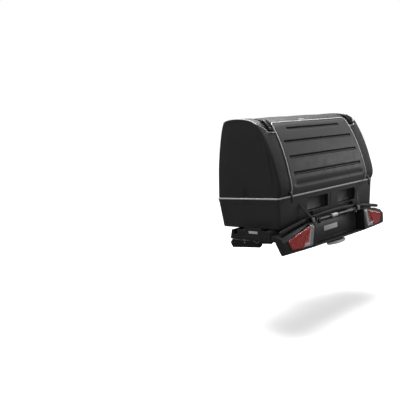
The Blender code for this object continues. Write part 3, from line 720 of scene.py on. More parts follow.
# the pedal is a light grey part, made lighter still as painted light for the light it lacks in the platform's shade
PEDAL_GREY_LIT = moulded("pedal_grey", (0.50, 0.50, 0.505), 0.50, wear=0.4, spec=0.4)
LEVER_GREY = moulded("lever_grey", (0.060, 0.060, 0.062), 0.40, wear=0.4)
PATCH_GREY = moulded("patch_grey", (0.22, 0.22, 0.225), 0.45, grain=0.00003, cell=2600.0, wear=0.0)
LABEL_PALE = moulded("label_pale", (0.50, 0.50, 0.51), 0.45, grain=0.00003, cell=2600.0, wear=0.0)


def powder_coat(name, colour, rough):
    m = Mat(name, colour, rough, Specular_IOR_Level=0.22)
    m.tint(m.ramp(m.noise(9.0, 4.0), 0.4, 0.8, 0.0, 0.4), tuple(c * 1.7 + 0.002 for c in colour))
    m.roughness(m.noise(40.0, 4.0), rough - 0.05, rough + 0.12)
    m.bump(m.noise(900.0, 2.0, 0.5), 0.00006, 0.6)
    m.bump(m.noise(180.0, 2.0, 0.5), 0.00012, 0.3)
    m.wear((0.07, 0.068, 0.066), 0.35)
    return m.m


FRAME_STEEL = powder_coat("frame_steel", (0.0070, 0.0070, 0.0073), 0.42)


def metal(name, colour, rough, brushed=(1.0, 1.0, 1.0), strength=0.4):
    m = Mat(name, colour, rough, 1.0)
    m.tint(m.ramp(m.noise(14.0, 5.0, 0.65), 0.35, 0.75, 0.0, 0.5), tuple(c * 0.68 for c in colour))
    m.roughness(m.noise(55.0, 4.0), rough - 0.08, rough + 0.14)
    m.bump(m.noise(260.0, 2.0, vector=m.scaled(*brushed)), 0.00006, strength)
    return m.m


ZINC = metal("zinc", (0.46, 0.46, 0.45), 0.34, (0.08, 1, 1))
TUBE_GREY = metal("tube_grey", (0.085, 0.085, 0.090), 0.34, (0.05, 1, 1))


def rubber():
    m = Mat("rubber", (0.010, 0.010, 0.010), 0.62, Specular_IOR_Level=0.4)
    m.tint(m.ramp(m.noise(30.0, 4.0), 0.4, 0.8, 0.0, 0.6), (0.022, 0.022, 0.022))
    m.roughness(m.noise(80.0, 3.0), 0.55, 0.78)
    m.bump(m.noise(700.0, 2.0), 0.00008, 0.6)
    return m.m


RUBBER = rubber()


def webbing():
    m = Mat("webbing", (0.010, 0.010, 0.0105), 0.72, Specular_IOR_Level=0.35)
    m.tint(m.ramp(m.weave(0.0024), 0.2, 0.9, 0.0, 0.7), (0.028, 0.028, 0.029))
    m.roughness(m.noise(80.0, 3.0), 0.66, 0.82)
    m.bump(m.weave(0.0024), 0.00030, 0.8)
    return m.m


WEBBING = webbing()


def thread():
    m = Mat("thread", (0.020, 0.020, 0.021), 0.65, Specular_IOR_Level=0.3)
    m.tint(m.ramp(m.noise(500.0, 2.0), 0.4, 0.7, 0.0, 0.8), (0.05, 0.05, 0.052))
    m.roughness(m.noise(200.0, 2.0), 0.55, 0.75)
    m.bump(m.noise(1500.0, 1.0), 0.00006, 0.6)
    return m.m


THREAD = thread()


def lens(name, colour, alpha, rough=0.07):
    """Moulded lamp lens: clear plastic that lets the chamber behind it show, with fine vertical flutes."""
    m = Mat(name, colour, rough, Specular_IOR_Level=0.6)
    m.b.inputs["Alpha"].default_value = alpha
    m.b.inputs["Coat Weight"].default_value = 0.7
    m.b.inputs["Coat Roughness"].default_value = 0.04
    m.tint(m.ramp(m.noise(18.0, 3.0), 0.35, 0.75, 0.0, 0.4), tuple(c * 0.72 for c in colour))
    m.roughness(m.noise(50.0, 3.0), rough - 0.02, rough + 0.06)
    m.bump(m.ribs(0, 0.0042), 0.00045, 0.5)
    return m.m


LENS_RED = lens("lens_red", (0.580, 0.0620, 0.0580), 0.60)
LENS_CLEAR = lens("lens_clear", (0.70, 0.70, 0.71), 0.30)


def chamber(name, colour, rough, metal_=1.0):
    m = Mat(name, colour, rough, metal_)
    m.tint(m.ramp(m.noise(40.0, 3.0), 0.35, 0.75, 0.0, 0.5), tuple(c * 0.75 for c in colour))
    m.roughness(m.noise(60.0, 3.0), rough - 0.04, rough + 0.08)
    m.bump(m.noise(500.0, 2.0), 0.00005, 0.3)
    return m.m


REFLECTOR = chamber("reflector_chrome", (0.82, 0.82, 0.83), 0.16)
REFLECTOR_RED = chamber("reflector_red", (0.62, 0.060, 0.050), 0.28, 0.85)
GUIDE_PINK = chamber("light_guide", (0.80, 0.30, 0.27), 0.35, 0.0)
WHITE_CELL = chamber("white_cell", (0.78, 0.78, 0.77), 0.30, 0.0)


# ================================================================ camera, light, floor
cam_data = bpy.data.cameras.new("camera")
cam_data.lens = 44.368
cam_data.sensor_width = 36.0
cam = bpy.data.objects.new("camera", cam_data)
right, up, fwd = (0.75630398, -0.64569005, -0.10530267), (0.14825688, 0.01238439, 0.98887134), \
    (0.63720028, 0.76349917, -0.10509436)
place_at = (-2.70596, -2.77741, 0.78513)
cam.matrix_world = Matrix([[right[k], up[k], -fwd[k], place_at[k]] for k in range(3)] + [[0, 0, 0, 1]])
bpy.context.scene.collection.objects.link(cam)
bpy.context.scene.camera = cam


def area(name, where, at, size, power, size_y=None, colour=(1, 1, 1)):
    light = bpy.data.lights.new(name, "AREA")
    light.energy = power
    light.color = colour
    light.shape = "RECTANGLE"
    light.size = size
    light.size_y = size_y or size
    obj = bpy.data.objects.new(name, light)
    obj.location = where
    obj.rotation_mode = "QUATERNION"
    obj.rotation_quaternion = (Vector(at) - Vector(where)).to_track_quat("-Z", "Y")
    bpy.context.scene.collection.objects.link(obj)
    return obj


area("overhead", (0.25, -0.05, 3.2), (0.0, -0.55, 0.5), 2.8, 250.0, 2.4)
area("rear_right", (3.4, -2.6, 1.1), (0.2, -0.7, 0.25), 1.8, 50.0, 1.6)
area("rear_left_low", (-1.9, -4.2, 0.6), (-0.1, -0.8, 0.0), 1.8, 8.0, 1.2)
area("left", (-4.2, 0.5, 1.2), (-0.4, -0.4, 0.4), 1.8, 16.0, 1.4)

world = bpy.data.worlds.new("studio")
bpy.context.scene.world = world
world.use_nodes = True
_nt = world.node_tree
_bg = _nt.nodes["Background"]
_bg.inputs["Color"].default_value = (1, 1, 1, 1)
_bg.inputs["Strength"].default_value = 1.0
_dim = _nt.nodes.new("ShaderNodeBackground")
_dim.inputs["Color"].default_value = (1, 1, 1, 1)
_dim.inputs["Strength"].default_value = 0.30
_pick = _nt.nodes.new("ShaderNodeMixShader")
_path = _nt.nodes.new("ShaderNodeLightPath")
_nt.links.new(_path.outputs["Is Camera Ray"], _pick.inputs[0])
_nt.links.new(_dim.outputs[0], _pick.inputs[1])
_nt.links.new(_bg.outputs[0], _pick.inputs[2])
_nt.links.new(_pick.outputs[0], _nt.nodes["World Output"].inputs["Surface"])
bpy.context.scene.view_settings.view_transform = "Standard"
bpy.context.scene.view_settings.look = "None"


def floor_material():
    m = Mat("floor_paper", (0.86, 0.86, 0.86), 0.75, Specular_IOR_Level=0.2)
    m.tint(m.ramp(m.noise(1.3, 4.0), 0.35, 0.75, 0.0, 0.4), (0.82, 0.82, 0.82))
    m.roughness(m.noise(30.0, 2.0), 0.7, 0.85)
    m.bump(m.noise(220.0, 2.0), 0.0002, 0.2)
    m.b.inputs["Emission Color"].default_value = (1, 1, 1, 1)
    far = m.t.nodes.new("ShaderNodeVectorMath")
    far.operation = "LENGTH"
    m.t.links.new(m.tc.outputs["Object"], far.inputs[0])
    m.t.links.new(m.ramp(far.outputs["Value"], 1.2, 4.6, 0.42, 0.95), m.b.inputs["Emission Strength"])
    # seen directly the paper is white; what it throws back onto the carrier's underside is kept low
    dim = m.node("ShaderNodeBsdfDiffuse", Color=(0.16, 0.16, 0.16, 1))
    path = m.t.nodes.new("ShaderNodeLightPath")
    pick = m.t.nodes.new("ShaderNodeMixShader")
    m.t.links.new(path.outputs["Is Camera Ray"], pick.inputs[0])
    m.t.links.new(dim.outputs[0], pick.inputs[1])
    m.t.links.new(m.b.outputs[0], pick.inputs[2])
    m.t.links.new(pick.outputs[0], m.t.nodes["Material Output"].inputs["Surface"])
    return m.m


floor = new_object("floor", [(-40, -40, -0.645), (40, -40, -0.645), (40, 40, -0.645), (-40, 40, -0.645)],
                   [(0, 1, 2, 3)], floor_material())


# ================================================================ cargo box: fabric shell
BODY = "platform"
CORE = (0.0, 0.0, 0.36)             # a point inside the box
N_OUT = 190                         # points along the shell's profile


def ripple(y, z, seed, size, amount):
    """Low soft unevenness of stretched cloth, the same each run."""
    return amount * (noise.noise(Vector((y * size, z * size, seed))) + 0.5 * noise.noise(
        Vector((y * size * 2.1 + 3.7, z * size * 2.1, seed + 5.0))))


def side_panel(name, body):
    """Left side: a flat field that rounds over its long edges, and at the rear wraps on round to the lid as a cheek."""
    stations = [SHELL.length * i / N_OUT for i in range(N_OUT + 1)]
    # the seam height gets a station of its own
    k = min(range(len(stations)), key=lambda i: abs(stations[i] - S_SEAM))
    stations[k] = S_SEAM
    fans = []
    for s in stations:
        r = corner_r(s)
        y, z = SHELL.at(s)
        ny, nz = SHELL.normal(s)
        ray = Vector((FAN[0] - y, FAN[1] - z))
        length = ray.length
        ray.normalize()
        lean = max(0.30, -(ray.x * ny + ray.y * nz))
        row = []
        arc = 7
        for j in range(arc + 1):                      # over the edge
            a = (pi / 2) * j / arc
            d = r * (1 - cos(a)) / lean
            row.append((SIDE - r + r * sin(a), y + ray.x * d, z + ray.y * d, d))
        start = r / lean
        left = length - start
        for f in (0.012, 0.025, 0.038, 0.052, 0.066, 0.08, 0.095, 0.115, 0.14, 0.18, 0.23, 0.29, 0.36, 0.44, 0.53, 0.63, 0.74, 0.86, 1.0):
            d = start + left * f
            row.append((SIDE, y + ray.x * d, z + ray.y * d, d))
        fans.append(row)
    rows = []
    for s, row in zip(stations, fans):
        out = []
        for j, (x, y, z, d) in enumerate(row):
            if j >= 8:
                edge = min(1.0, (d - row[7][3]) / 0.10)
                low = smoothstep((z - 0.197) / 0.08)
                bulge = 0.0024 * smoothstep(edge) * low
                bulge += ripple(y, z, 1.3, 7.0, 0.0011) * smoothstep(edge) * low
                # a stiffener inside the cloth leaves a soft upright crease near the rear corner
                along = np.interp(z, (0.28, 0.40, 0.50, 0.57), (-0.256, -0.239, -0.226, -0.212)) + 0.012
                depth = smoothstep((z - 0.26) / 0.05) * smoothstep((0.590 - z) / 0.05)
                bulge -= 0.0048 * depth * max(0.0, 1 - abs(y - along) / 0.0110) ** 2
                bulge += 0.0020 * depth * max(0.0, 1 - abs(y - along - 0.018) / 0.0140) ** 2
                bulge -= 0.0016 * depth * smoothstep((along - y) / 0.012) * (1 - smoothstep((d - row[7][3]) / 0.05))
                x += bulge
            out.append((x, y, z))
        rows.append(out)
    verts, faces = grid(rows)
    # the cheek: from the rounded edge inwards to the zip beside the lid
    cheek = [s for s in stations if s >= S_SEAM - 1e-9]
    strip = []
    for s in cheek:
        y, z = SHELL.at(s)
        ny, nz = SHELL.normal(s)
        x0, x1 = SIDE - corner_r(s), lid_half(z) + 0.0030
        line = []
        for j in range(13):
            u = j / 12
            puff = 0.0022 * sin(pi * u) * smoothstep((z - 0.197) / 0.05) + ripple(u, z, 7.7, 9.0, 0.0007) * sin(pi * u)
            line.append((x0 + (x1 - x0) * u, y + ny * puff, z + nz * puff))
        strip.append(line)
    v2, f2 = grid(strip)
    base = len(verts)
    verts += v2
    faces += [tuple(i + base for i in f) for f in f2]
    # the part that laps over onto the shoulder, up to the slanting seam
    lap = []
    for s in stations:
        if drift(s) > 0.0003:
            y, z = SHELL.at(s)
            x0 = SIDE - corner_r(s)
            lap.append([(x0 - drift(s) * k / 3, y, z) for k in range(4)])
    v2, f2 = grid(lap)
    base = len(verts)
    verts += v2
    faces += [tuple(i + base for i in f) for f in f2]
    obj = new_object(name, verts, faces, SHELL_FABRIC, sharp=50)
    clean(obj, CORE, merge=2e-5)
    return obj


right_side = side_panel("side_cover_right", BODY)
left_side = mirrored(right_side, "side_cover_left")
for obj, node in ((right_side, "side_panel_right"), (left_side, "side_panel_left")):
    solidify(obj, 0.0040, LINING)
    place(obj, BODY, node)


def roof():
    """Roof cloth with its two shoulders, which run down beside the lid's top corners."""
    cols_mid, cols_edge = 46, 9
    stations = [S_FRONT_TOP + (S_HINGE - S_FRONT_TOP) * i / 54 for i in range(55)]
    rows = []
    w_top = lid_half(HINGE_Z) + 0.0030
    for s in stations:
        y, z = SHELL.at(s)
        ny, nz = SHELL.normal(s)
        xe = SIDE - corner_r(s)
        xs = [-xe + (xe - w_top) * i / cols_edge for i in range(cols_edge)]
        xs += [-w_top + 2 * w_top * i / cols_mid for i in range(cols_mid + 1)]
        xs += [w_top + (xe - w_top) * (i + 1) / cols_edge for i in range(cols_edge)]
        t = (s - S_FRONT_TOP) / (S_HINGE - S_FRONT_TOP)
        row = []
        for x in xs:
            u = x / xe
            # cloth dips a little between the hoops and is held at its borders
            hold = smoothstep((1 - abs(u)) / 0.06) * smoothstep(t / 0.10) * smoothstep((1 - t) / 0.14)
            dip = -0.0030 * (0.5 + 0.5 * cos(2 * pi * x / 0.34)) + ripple(x * 0.8, y, 3.1, 8.0, 0.0026)
            stiff = 1.0 - 0.7 * max(0.0, 1 - abs(abs(x) - 0.418) / 0.03)
            lift = hold * stiff * dip
            row.append((x, y + ny * lift, z + nz * lift))
        rows.append(row)
    verts, faces = grid(rows)
    for sgn in (-1, 1):
        down = [S_HINGE + (S_SEAM - S_HINGE) * i / 18 for i in range(19)]
        strip = []
        for s in down:
            y, z = SHELL.at(s)
            ny, nz = SHELL.normal(s)
            x0, x1 = SIDE - corner_r(s) - drift(s), lid_half(z) + 0.0030
            line = []
            for j in range(cols_edge + 1):
                u = j / cols_edge
                puff = 0.0018 * sin(pi * u) * smoothstep((s - S_HINGE) / 0.03) * smoothstep((S_SEAM - s) / 0.03)
                line.append((sgn * (x0 + (x1 - x0) * u), y + ny * puff, z + nz * puff))
            strip.append(line)
        v2, f2 = grid(strip)
        base = len(verts)
        verts += v2
        faces += [tuple(i + base for i in f) for f in f2]
    # the roof takes the darker copy of the shell's cloth, as painted shade
    obj = new_object("roof_cover", verts, faces, ROOF_FABRIC_SHADED, sharp=50)
    return clean(obj, CORE, merge=2e-5)


roof_cover = roof()
solidify(roof_cover, 0.0040, LINING)
place(roof_cover, BODY, "roof_panel")


def front():
    rows = []
    for i in range(61):
        s = S_FRONT_TOP * i / 60
        y, z = SHELL.at(s)
        ny, nz = SHELL.normal(s)
        xe = SIDE - corner_r(s)
        row = []
        for j in range(61):
            u = -1 + 2 * j / 60
            t = i / 60
            hold = smoothstep((1 - abs(u)) / 0.08) * smoothstep(t / 0.12) * smoothstep((1 - t) / 0.10)
            lift = hold * (0.0022 + ripple(u * 0.5, z, 9.4, 8.0, 0.0020))
            # two sewn channels hold stiffeners
            for c in (-0.42, 0.42):
                lift -= hold * 0.0018 * max(0.0, 1 - abs(u * xe - c * 0.5) / 0.006) ** 2
            row.append((u * xe, y + ny * lift, z + nz * lift))
        rows.append(row)
    verts, faces = grid(rows)
    obj = new_object("front_cover", verts, faces, SHELL_FABRIC, sharp=50)
    return clean(obj, CORE, merge=2e-5)


front_cover = front()
solidify(front_cover, 0.0040, LINING)
place(front_cover, BODY, "front_panel")

# ---- the lid: a moulded, padded panel with four pressed channels and a soft fold above its lower edge
S_LID = SHELL.s_of_z(0.6430, S_TOP)
GROOVES = [(0.600, 0.279), (0.520, 0.357), (0.425, 0.359), (0.325, 0.363)]
GROOVE_S = [(SHELL.s_of_z(z, S_TOP), hx) for z, hx in GROOVES]
S_FOLD = SHELL.s_of_z(0.262, S_TOP)


def lid_relief(x, s):
    """How far the lid's face stands off its plain curve at (x, s)."""
    out = 0.0
    for sc, hx in GROOVE_S:
        if abs(s - sc) < 0.022:
            r, hs = 0.0058, 0.0098
            qx, qs = abs(x) - (hx - r), abs(s - sc) - (hs - r)
            d = sqrt(max(qx, 0) ** 2 + max(qs, 0) ** 2) + min(max(qx, qs), 0) - r
            wall = 0.0028 if s < sc else 0.0036
            # floor: deepest under the upper lip, rising towards the lower edge, which ends in a narrow crease
            rise = smoothstep((s - sc + hs) / (2 * hs))
            out -= (0.0068 - 0.0034 * rise) * smoothstep(-d / wall)
            out -= 0.0026 * max(0.0, 1 - abs(s - sc - 0.0078) / 0.0032) * smoothstep(-d / 0.002)
            # the skin is drawn in a little around each channel
            out -= 0.0010 * smoothstep(1 - abs(d) / 0.010)
    edge = smoothstep((0.385 - abs(x)) / 0.05)
    near = max(0.0, 1 - abs(s - S_FOLD) / (0.034 if s < S_FOLD else 0.024))
    out -= 0.0105 * edge * near ** 1.6
    out += 0.0006 * edge * max(0.0, 1 - abs(s - S_FOLD - 0.036) / 0.024)
    return out


def lid():
    stations = set()
    s = S_LID
    while s < SHELL.length - 0.0005:
        stations.add(round(s, 5))
        s += 0.0062
    for sc, hx in GROOVE_S:
        for d in (-0.0112, -0.0099, -0.0088, -0.0077, -0.0066, -0.0054, -0.003, 0.0, 0.003, 0.0045, 0.0056, 0.0067,
                  0.0078, 0.0089, 0.0100, 0.0112):
            stations.add(round(sc + d, 5))
    for k in range(-6, 7):
        stations.add(round(S_FOLD + k * 0.0035, 5))
    stations = sorted(stations)
    kept = [stations[0]]
    for s in stations[1:]:
        if s - kept[-1] > 0.0010:
            kept.append(s)
    kept.append(SHELL.length - 0.0004)
    us = [-1.0, -0.994, -0.985, -0.975]
    u = -0.966
    while u < -0.66:
        us.append(u)
        u += 0.0062
    while u < -0.03:
        us.append(u)
        u += 0.030
    us = us + [0.0] + [-v for v in us[::-1]]
    rows = []
    for s in kept:
        y, z = SHELL.at(s)
        ny, nz = SHELL.normal(s)
        w = lid_half(z)
        row = []
        for u in us:
            x = u * w
            lift = lid_relief(x, s)
            border = smoothstep((1 - abs(u)) / 0.05) * smoothstep((s - S_LID) / 0.02) * smoothstep(
                (SHELL.length - s) / 0.02)
            lift += border * (0.0016 + ripple(x * 0.7, z, 2.2, 7.0, 0.0009))
            lift -= 0.0016 * (1 - smoothstep((1 - abs(u)) / 0.012))
            row.append((x, y + ny * lift, z + nz * lift))
        rows.append(row)
    verts, faces = grid(rows)
    obj = new_object("lid_cover", verts, faces, [LID_SKIN, CHANNEL_PAINTED_SHADE], sharp=60)
    # painted shade: faces of the channels' upper wall, ends and lower crease take the near-black channel material
    m = len(us)
    for i in range(len(kept) - 1):
        sm = (kept[i] + kept[i + 1]) / 2
        for sc, hx in GROOVE_S:
            if abs(sm - sc) > 0.0112:
                continue
            for j in range(m - 1):
                x = (rows[i][j][0] + rows[i][j + 1][0]) / 2
                r, hs = 0.0058, 0.0098
                qx, qs = abs(x) - (hx - r), abs(sm - sc) - (hs - r)
                d = sqrt(max(qx, 0) ** 2 + max(qs, 0) ** 2) + min(max(qx, qs), 0) - r
                if -0.0090 < d < 0.0010 and sm < sc + 0.001 or abs(sm - sc - 0.0078) < 0.0022 and d < 0:
                    obj.data.polygons[i * (m - 1) + j].material_index = 1
    return clean(obj, CORE, merge=2e-5)


lid_cover = lid()
solidify(lid_cover, 0.0050, LINING).material_offset = 2
place(lid_cover, "lid", "lid_panel")


def lid_edge(n_side=90, corner=0.024):
    """The line of the lid's piping as (x, s) points: up one side, across the top, and down the other."""
    pts, nrm = [], []
    s_end = SHELL.length - 0.001
    for i in range(n_side + 1):
        s = s_end + (S_LID + corner - s_end) * i / n_side
        y, z = SHELL.at(s)
        ny, nz = SHELL.normal(s)
        pts.append((-(lid_half(z) + 0.0012), s))
    x0 = -(lid_half(SHELL.at(S_LID)[1]) + 0.0012)
    for k in range(1, 9):
        a = (pi / 2) * k / 8
        pts.append((x0 + corner * (1 - cos(a)), S_LID + corner * (1 - sin(a)) - 0.0008 * sin(a)))
    n = 40
    right_half = [(-x, s) for x, s in pts[::-1]]
    a, b = pts[-1], right_half[0]
    for k in range(1, n):
        pts.append((a[0] + (b[0] - a[0]) * k / n, a[1] + 0.0006 * sin(8 * pi * k / n)))
    pts += right_half
    return pts


edge_line = lid_edge()


def on_shell(x, s, lift):
    y, z = SHELL.at(s)
    ny, nz = SHELL.normal(s)
    return Vector((x, y + ny * lift, z + nz * lift))


piping = tube("lid_edge_piping", [on_shell(x, s, 0.0016) for x, s in edge_line], 0.0032, PIPING, sides=12)
place(piping, "lid", "lid_piping")
# stitches just inside the piping
flange = []
for x, s in edge_line:
    sgn = -1 if x < 0 else 1
    inner_x, inner_s = x - sgn * 0.0075, s
    if abs(x) < 0.352:
        inner_x, inner_s = x, s + 0.0075
    flange.append((x, s, inner_x, inner_s))
stitch_path = [on_shell((a + c) / 2, (b + d) / 2, 0.0018) for a, b, c, d in flange]
stitch_nrm = [Vector((0, *SHELL.normal((b + d) / 2))) for a, b, c, d in flange]
lid_stitch = stitches("lid_stitching", stitch_path, stitch_nrm, THREAD)
place(lid_stitch, "lid")

# ---- shell piping: along the roof's long edges, then across each shoulder to the lid
for side, sgn in (("left", -1), ("right", 1)):
    line = []
    s = S_FRONT_TOP + 0.004
    turn = 0.012
    while s < S_SEAM - turn:
        line.append((s, corner_r(s) * pi / 4 * (1 + drift(s) / 0.036) + drift(s)))
        s += 0.006
    s = S_SEAM - turn
    l0 = corner_r(s) * pi / 4 * (1 + drift(s) / 0.036) + drift(s)
    for k in range(1, 10):
        a = (pi / 2) * k / 9
        line.append((S_SEAM - turn + turn * sin(a), l0 + turn * (1 - cos(a))))
    l = line[-1][1]
    s_here = line[-1][0]
    # stops where the buckle's strap covers it and goes on to the lid's own piping
    stop = SIDE - corner_r(s_here) + corner_r(s_here) * pi / 2 - (lid_half(SHELL.at(s_here)[1]) + 0.006)
    while l < stop:
        l += 0.006
        line.append((s_here + 0.004 * smoothstep((l - l0) / 0.08), min(l, stop)))
    path = []
    for s, l in line:
        p = over(s, l, 0.0010)
        path.append((sgn * p.x, p.y, p.z))
    pipe = tube("shell_piping_" + side, path, 0.0028, PIPING, sides=10)
    place(pipe, BODY)
    # a row of stitches beside the piping on the side face
    sp, sn = [], []
    for s, l in line[:-12]:
        if l > 0.020:
            break
        p = over(s, l - 0.010, 0.0004)
        sp.append((sgn * p.x, p.y, p.z))
        sn.append((sgn, 0, 0))
    place(stitches("shell_stitching_" + side, sp, sn, THREAD), BODY)

# ---- zip beside the lid: tape and teeth on the cheek's edge, both sides
for side, sgn in (("left", -1), ("right", 1)):
    tape_rows, tooth_verts, tooth_faces = [], [], []
    s0, s1 = S_SEAM - 0.05, SHELL.length - 0.004
    n = 110
    for i in range(n + 1):
        s = s0 + (s1 - s0) * i / n
        z = SHELL.at(s)[1]
        w = lid_half(z)
        a, b = w + 0.0040, w + 0.0150
        puff = 0.0018
        tape_rows.append([on_shell(sgn * a, s, 0.0010 + puff * 0.3), on_shell(sgn * a, s, 0.0022 + puff * 0.3),
                          on_shell(sgn * b, s, 0.0018 + puff), on_shell(sgn * b, s, 0.0004)])
    verts, faces = grid(tape_rows, closed_cols=True)
    faces.append((3, 2, 1, 0))
    last = len(tape_rows) * 4 - 4
    faces.append((last, last + 1, last + 2, last + 3))
    tape = clean(new_object("zip_tape_" + side, verts, faces, WEBBING, sharp=40))
    place(tape, BODY)
    n = int((s1 - s0) / 0.0032)
    for i in range(n):
        s = s0 + 0.0016 + i * 0.0032
        z = SHELL.at(s)[1]
        c = lid_half(z) + 0.0062 + (0.0006 if i % 2 else -0.0006)
        base = len(tooth_verts)
        for ds, dx, dl in ((-0.0009, -0.0017, 0.0022), (0.0009, -0.0017, 0.0022), (0.0009, 0.0017, 0.0022),
                           (-0.0009, 0.0017, 0.0022), (-0.0006, -0.0012, 0.0036), (0.0006, -0.0012, 0.0036),
                           (0.0006, 0.0012, 0.0036), (-0.0006, 0.0012, 0.0036)):
            tooth_verts.append(on_shell(sgn * (c + dx), s + ds, dl))
        for f in ((0, 3, 2, 1), (4, 5, 6, 7), (0, 1, 5, 4), (1, 2, 6, 5), (2, 3, 7, 6), (3, 0, 4, 7)):
            tooth_faces.append(tuple(base + k for k in f))
    teeth = clean(new_object("zip_teeth_" + side, tooth_verts, tooth_faces, BUCKLE_PLASTIC, sharp=30), merge=1e-7)
    place(teeth, BODY)

# ---- pulls of the zips
for side, sgn in (("left", -1), ("right", 1)):
    lo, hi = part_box("zip_pull_" + side)
    lo, hi = lo - OFF, hi - OFF
    cx, py, top = (lo.x + hi.x) / 2, (lo.y + hi.y) / 2, hi.z
    tab = rounded([(cx - 0.0055, top - 0.004), (cx + 0.0055, top - 0.004), (cx + 0.0092, top - 0.018),
                   (cx + 0.0080, lo.z + 0.0010), (cx - 0.0080, lo.z + 0.0010), (cx - 0.0092, top - 0.018)], 0.003, 4)
    body = prism("tab", tab, "Y", py - 0.0021, py + 0.0021, BUCKLE_PLASTIC)
    bevel(body, 0.0007, 2, 40)
    parts = [body]
    for k in range(6):
        z = lo.z + 0.008 + 0.0056 * k
        rib = block((cx - 0.0060, py - 0.0030, z), (cx + 0.0060, py + 0.0030, z + 0.0020), 0.0005, 2)
        rib.data.materials.append(BUCKLE_PLASTIC)
        parts.append(rib)
    loop = tube("loop", [(cx + 0.0030 * cos(2 * pi * k / 20), py, top - 0.0035 + 0.0046 * sin(2 * pi * k / 20))
                         for k in range(20)], 0.0009, ZINC, sides=8, closed=True)
    parts.append(loop)
    pull = joined("zip_pull_tab_" + side, parts)
    place(pull, "pull_" + side, "zip_pull_" + side)
    # the slider that it hangs from stays on the shell
    s_low = SHELL.length - 0.016
    yl, zl = SHELL.at(s_low)
    slider = block((cx - 0.0062, yl - 0.0085, zl - 0.0020), (cx + 0.0062, yl - 0.0005, zl + 0.0160), 0.0018, 3)
    slider.data.materials.append(BUCKLE_PLASTIC)
    slider.name = "zip_slider_" + side
    slider.data.shade_smooth()
    place(slider, BODY)

# ---- buckles on the shoulders: a folding flap with a webbing strap that runs on under it
for side, sgn in (("left", -1), ("right", 1)):
    lo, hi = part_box("top_buckle_" + side)
    lo, hi = lo - OFF, hi - OFF
    cx = (lo.x + hi.x) / 2
    s0 = SHELL.s_of_z(0.6560, S_TOP)
    s1 = SHELL.s_of_z(0.5935, S_TOP)

    def slab(x0, x1, sa, sb, l0, l1, n=14, taper=0.0):
        rows = []
        for i in range(n + 1):
            s = sa + (sb - sa) * i / n
            t = abs(2 * i / n - 1) ** 4 * taper
            a, b = x0 + t, x1 - t
            rows.append([on_shell(a, s, l0), on_shell(a, s, l1), on_shell((a + b) / 2, s, l1 + 0.0008),
                         on_shell(b, s, l1), on_shell(b, s, l0), on_shell((a + b) / 2, s, l0)])
        verts, faces = grid(rows, closed_cols=True)
        faces.append(tuple(range(5, -1, -1)))
        k = n * 6
        faces.append(tuple(k + j for j in range(6)))
        obj = clean(new_object("slab", verts, faces, BUCKLE_PLASTIC, sharp=35))
        bevel(obj, 0.0012, 2, 35)
        return obj

    length = s1 - s0
    parts = [slab(cx - 0.0185, cx + 0.0185, s0, s1, 0.0042, 0.0125, taper=0.004),
             slab(cx - 0.0210, cx - 0.0150, s0 + 0.006, s1 - 0.004, 0.0030, 0.0160),
             slab(cx + 0.0150, cx + 0.0210, s0 + 0.006, s1 - 0.004, 0.0030, 0.0160),
             slab(cx - 0.0165, cx + 0.0165, s1 - 0.018, s1 + 0.001, 0.0060, 0.0165, 6)]
    for k in range(6):
        sk = s0 + 0.016 + k * 0.0075
        parts.append(slab(cx - 0.0130, cx + 0.0130, sk, sk + 0.0034, 0.0115, 0.0148, 3))
    flap = joined("shoulder_buckle_" + side, parts)
    place(flap, "buckle_" + side, "top_buckle_" + side)
    # strap and frame that stay on the shell
    strap_rows = []
    for i in range(41):
        s = s0 - 0.060 + (s1 + 0.012 - s0 + 0.060) * i / 40
        strap_rows.append([on_shell(cx - 0.0125, s, 0.0006), on_shell(cx - 0.0125, s, 0.0022),
                           on_shell(cx, s, 0.0025), on_shell(cx + 0.0125, s, 0.0022),
                           on_shell(cx + 0.0125, s, 0.0006), on_shell(cx, s, 0.0003)])
    verts, faces = grid(strap_rows, closed_cols=True)
    faces.append(tuple(range(5, -1, -1)))
    faces.append(tuple(240 + j for j in range(6)))
    strap = clean(new_object("shoulder_strap_" + side, verts, faces, WEBBING, sharp=35))
    place(strap, BODY)
    keeper = []
    for dx in (-0.0255, 0.0215):
        keeper.append(slab(cx + dx, cx + dx + 0.0040, s0 - 0.004, s0 + 0.014, 0.0010, 0.0120, 5))
    keeper.append(slab(cx - 0.0215, cx + 0.0215, s0 - 0.009, s0 - 0.0025, 0.0022, 0.0075, 4))
    keeper.append(slab(cx - 0.0175, cx + 0.0175, s0 - 0.030, s0 - 0.020, 0.0020, 0.0046, 4))
    place(joined("shoulder_keeper_" + side, keeper), BODY)

# ---- plain sewn patch on the roof, behind its middle
patch_rows = []
for i in range(9):
    s = S_HINGE - 0.026 + 0.017 * i / 8
    patch_rows.append([on_shell(-0.082 + 0.052 * j / 16, s, 0.0016 if 0 < i < 8 and 0 < j < 16 else 0.0) for j in range(17)])
verts, faces = grid(patch_rows)
patch = clean(new_object("roof_patch", verts, faces, PATCH_GREY, sharp=60), CORE)
solidify(patch, 0.0012)
place(patch, BODY)

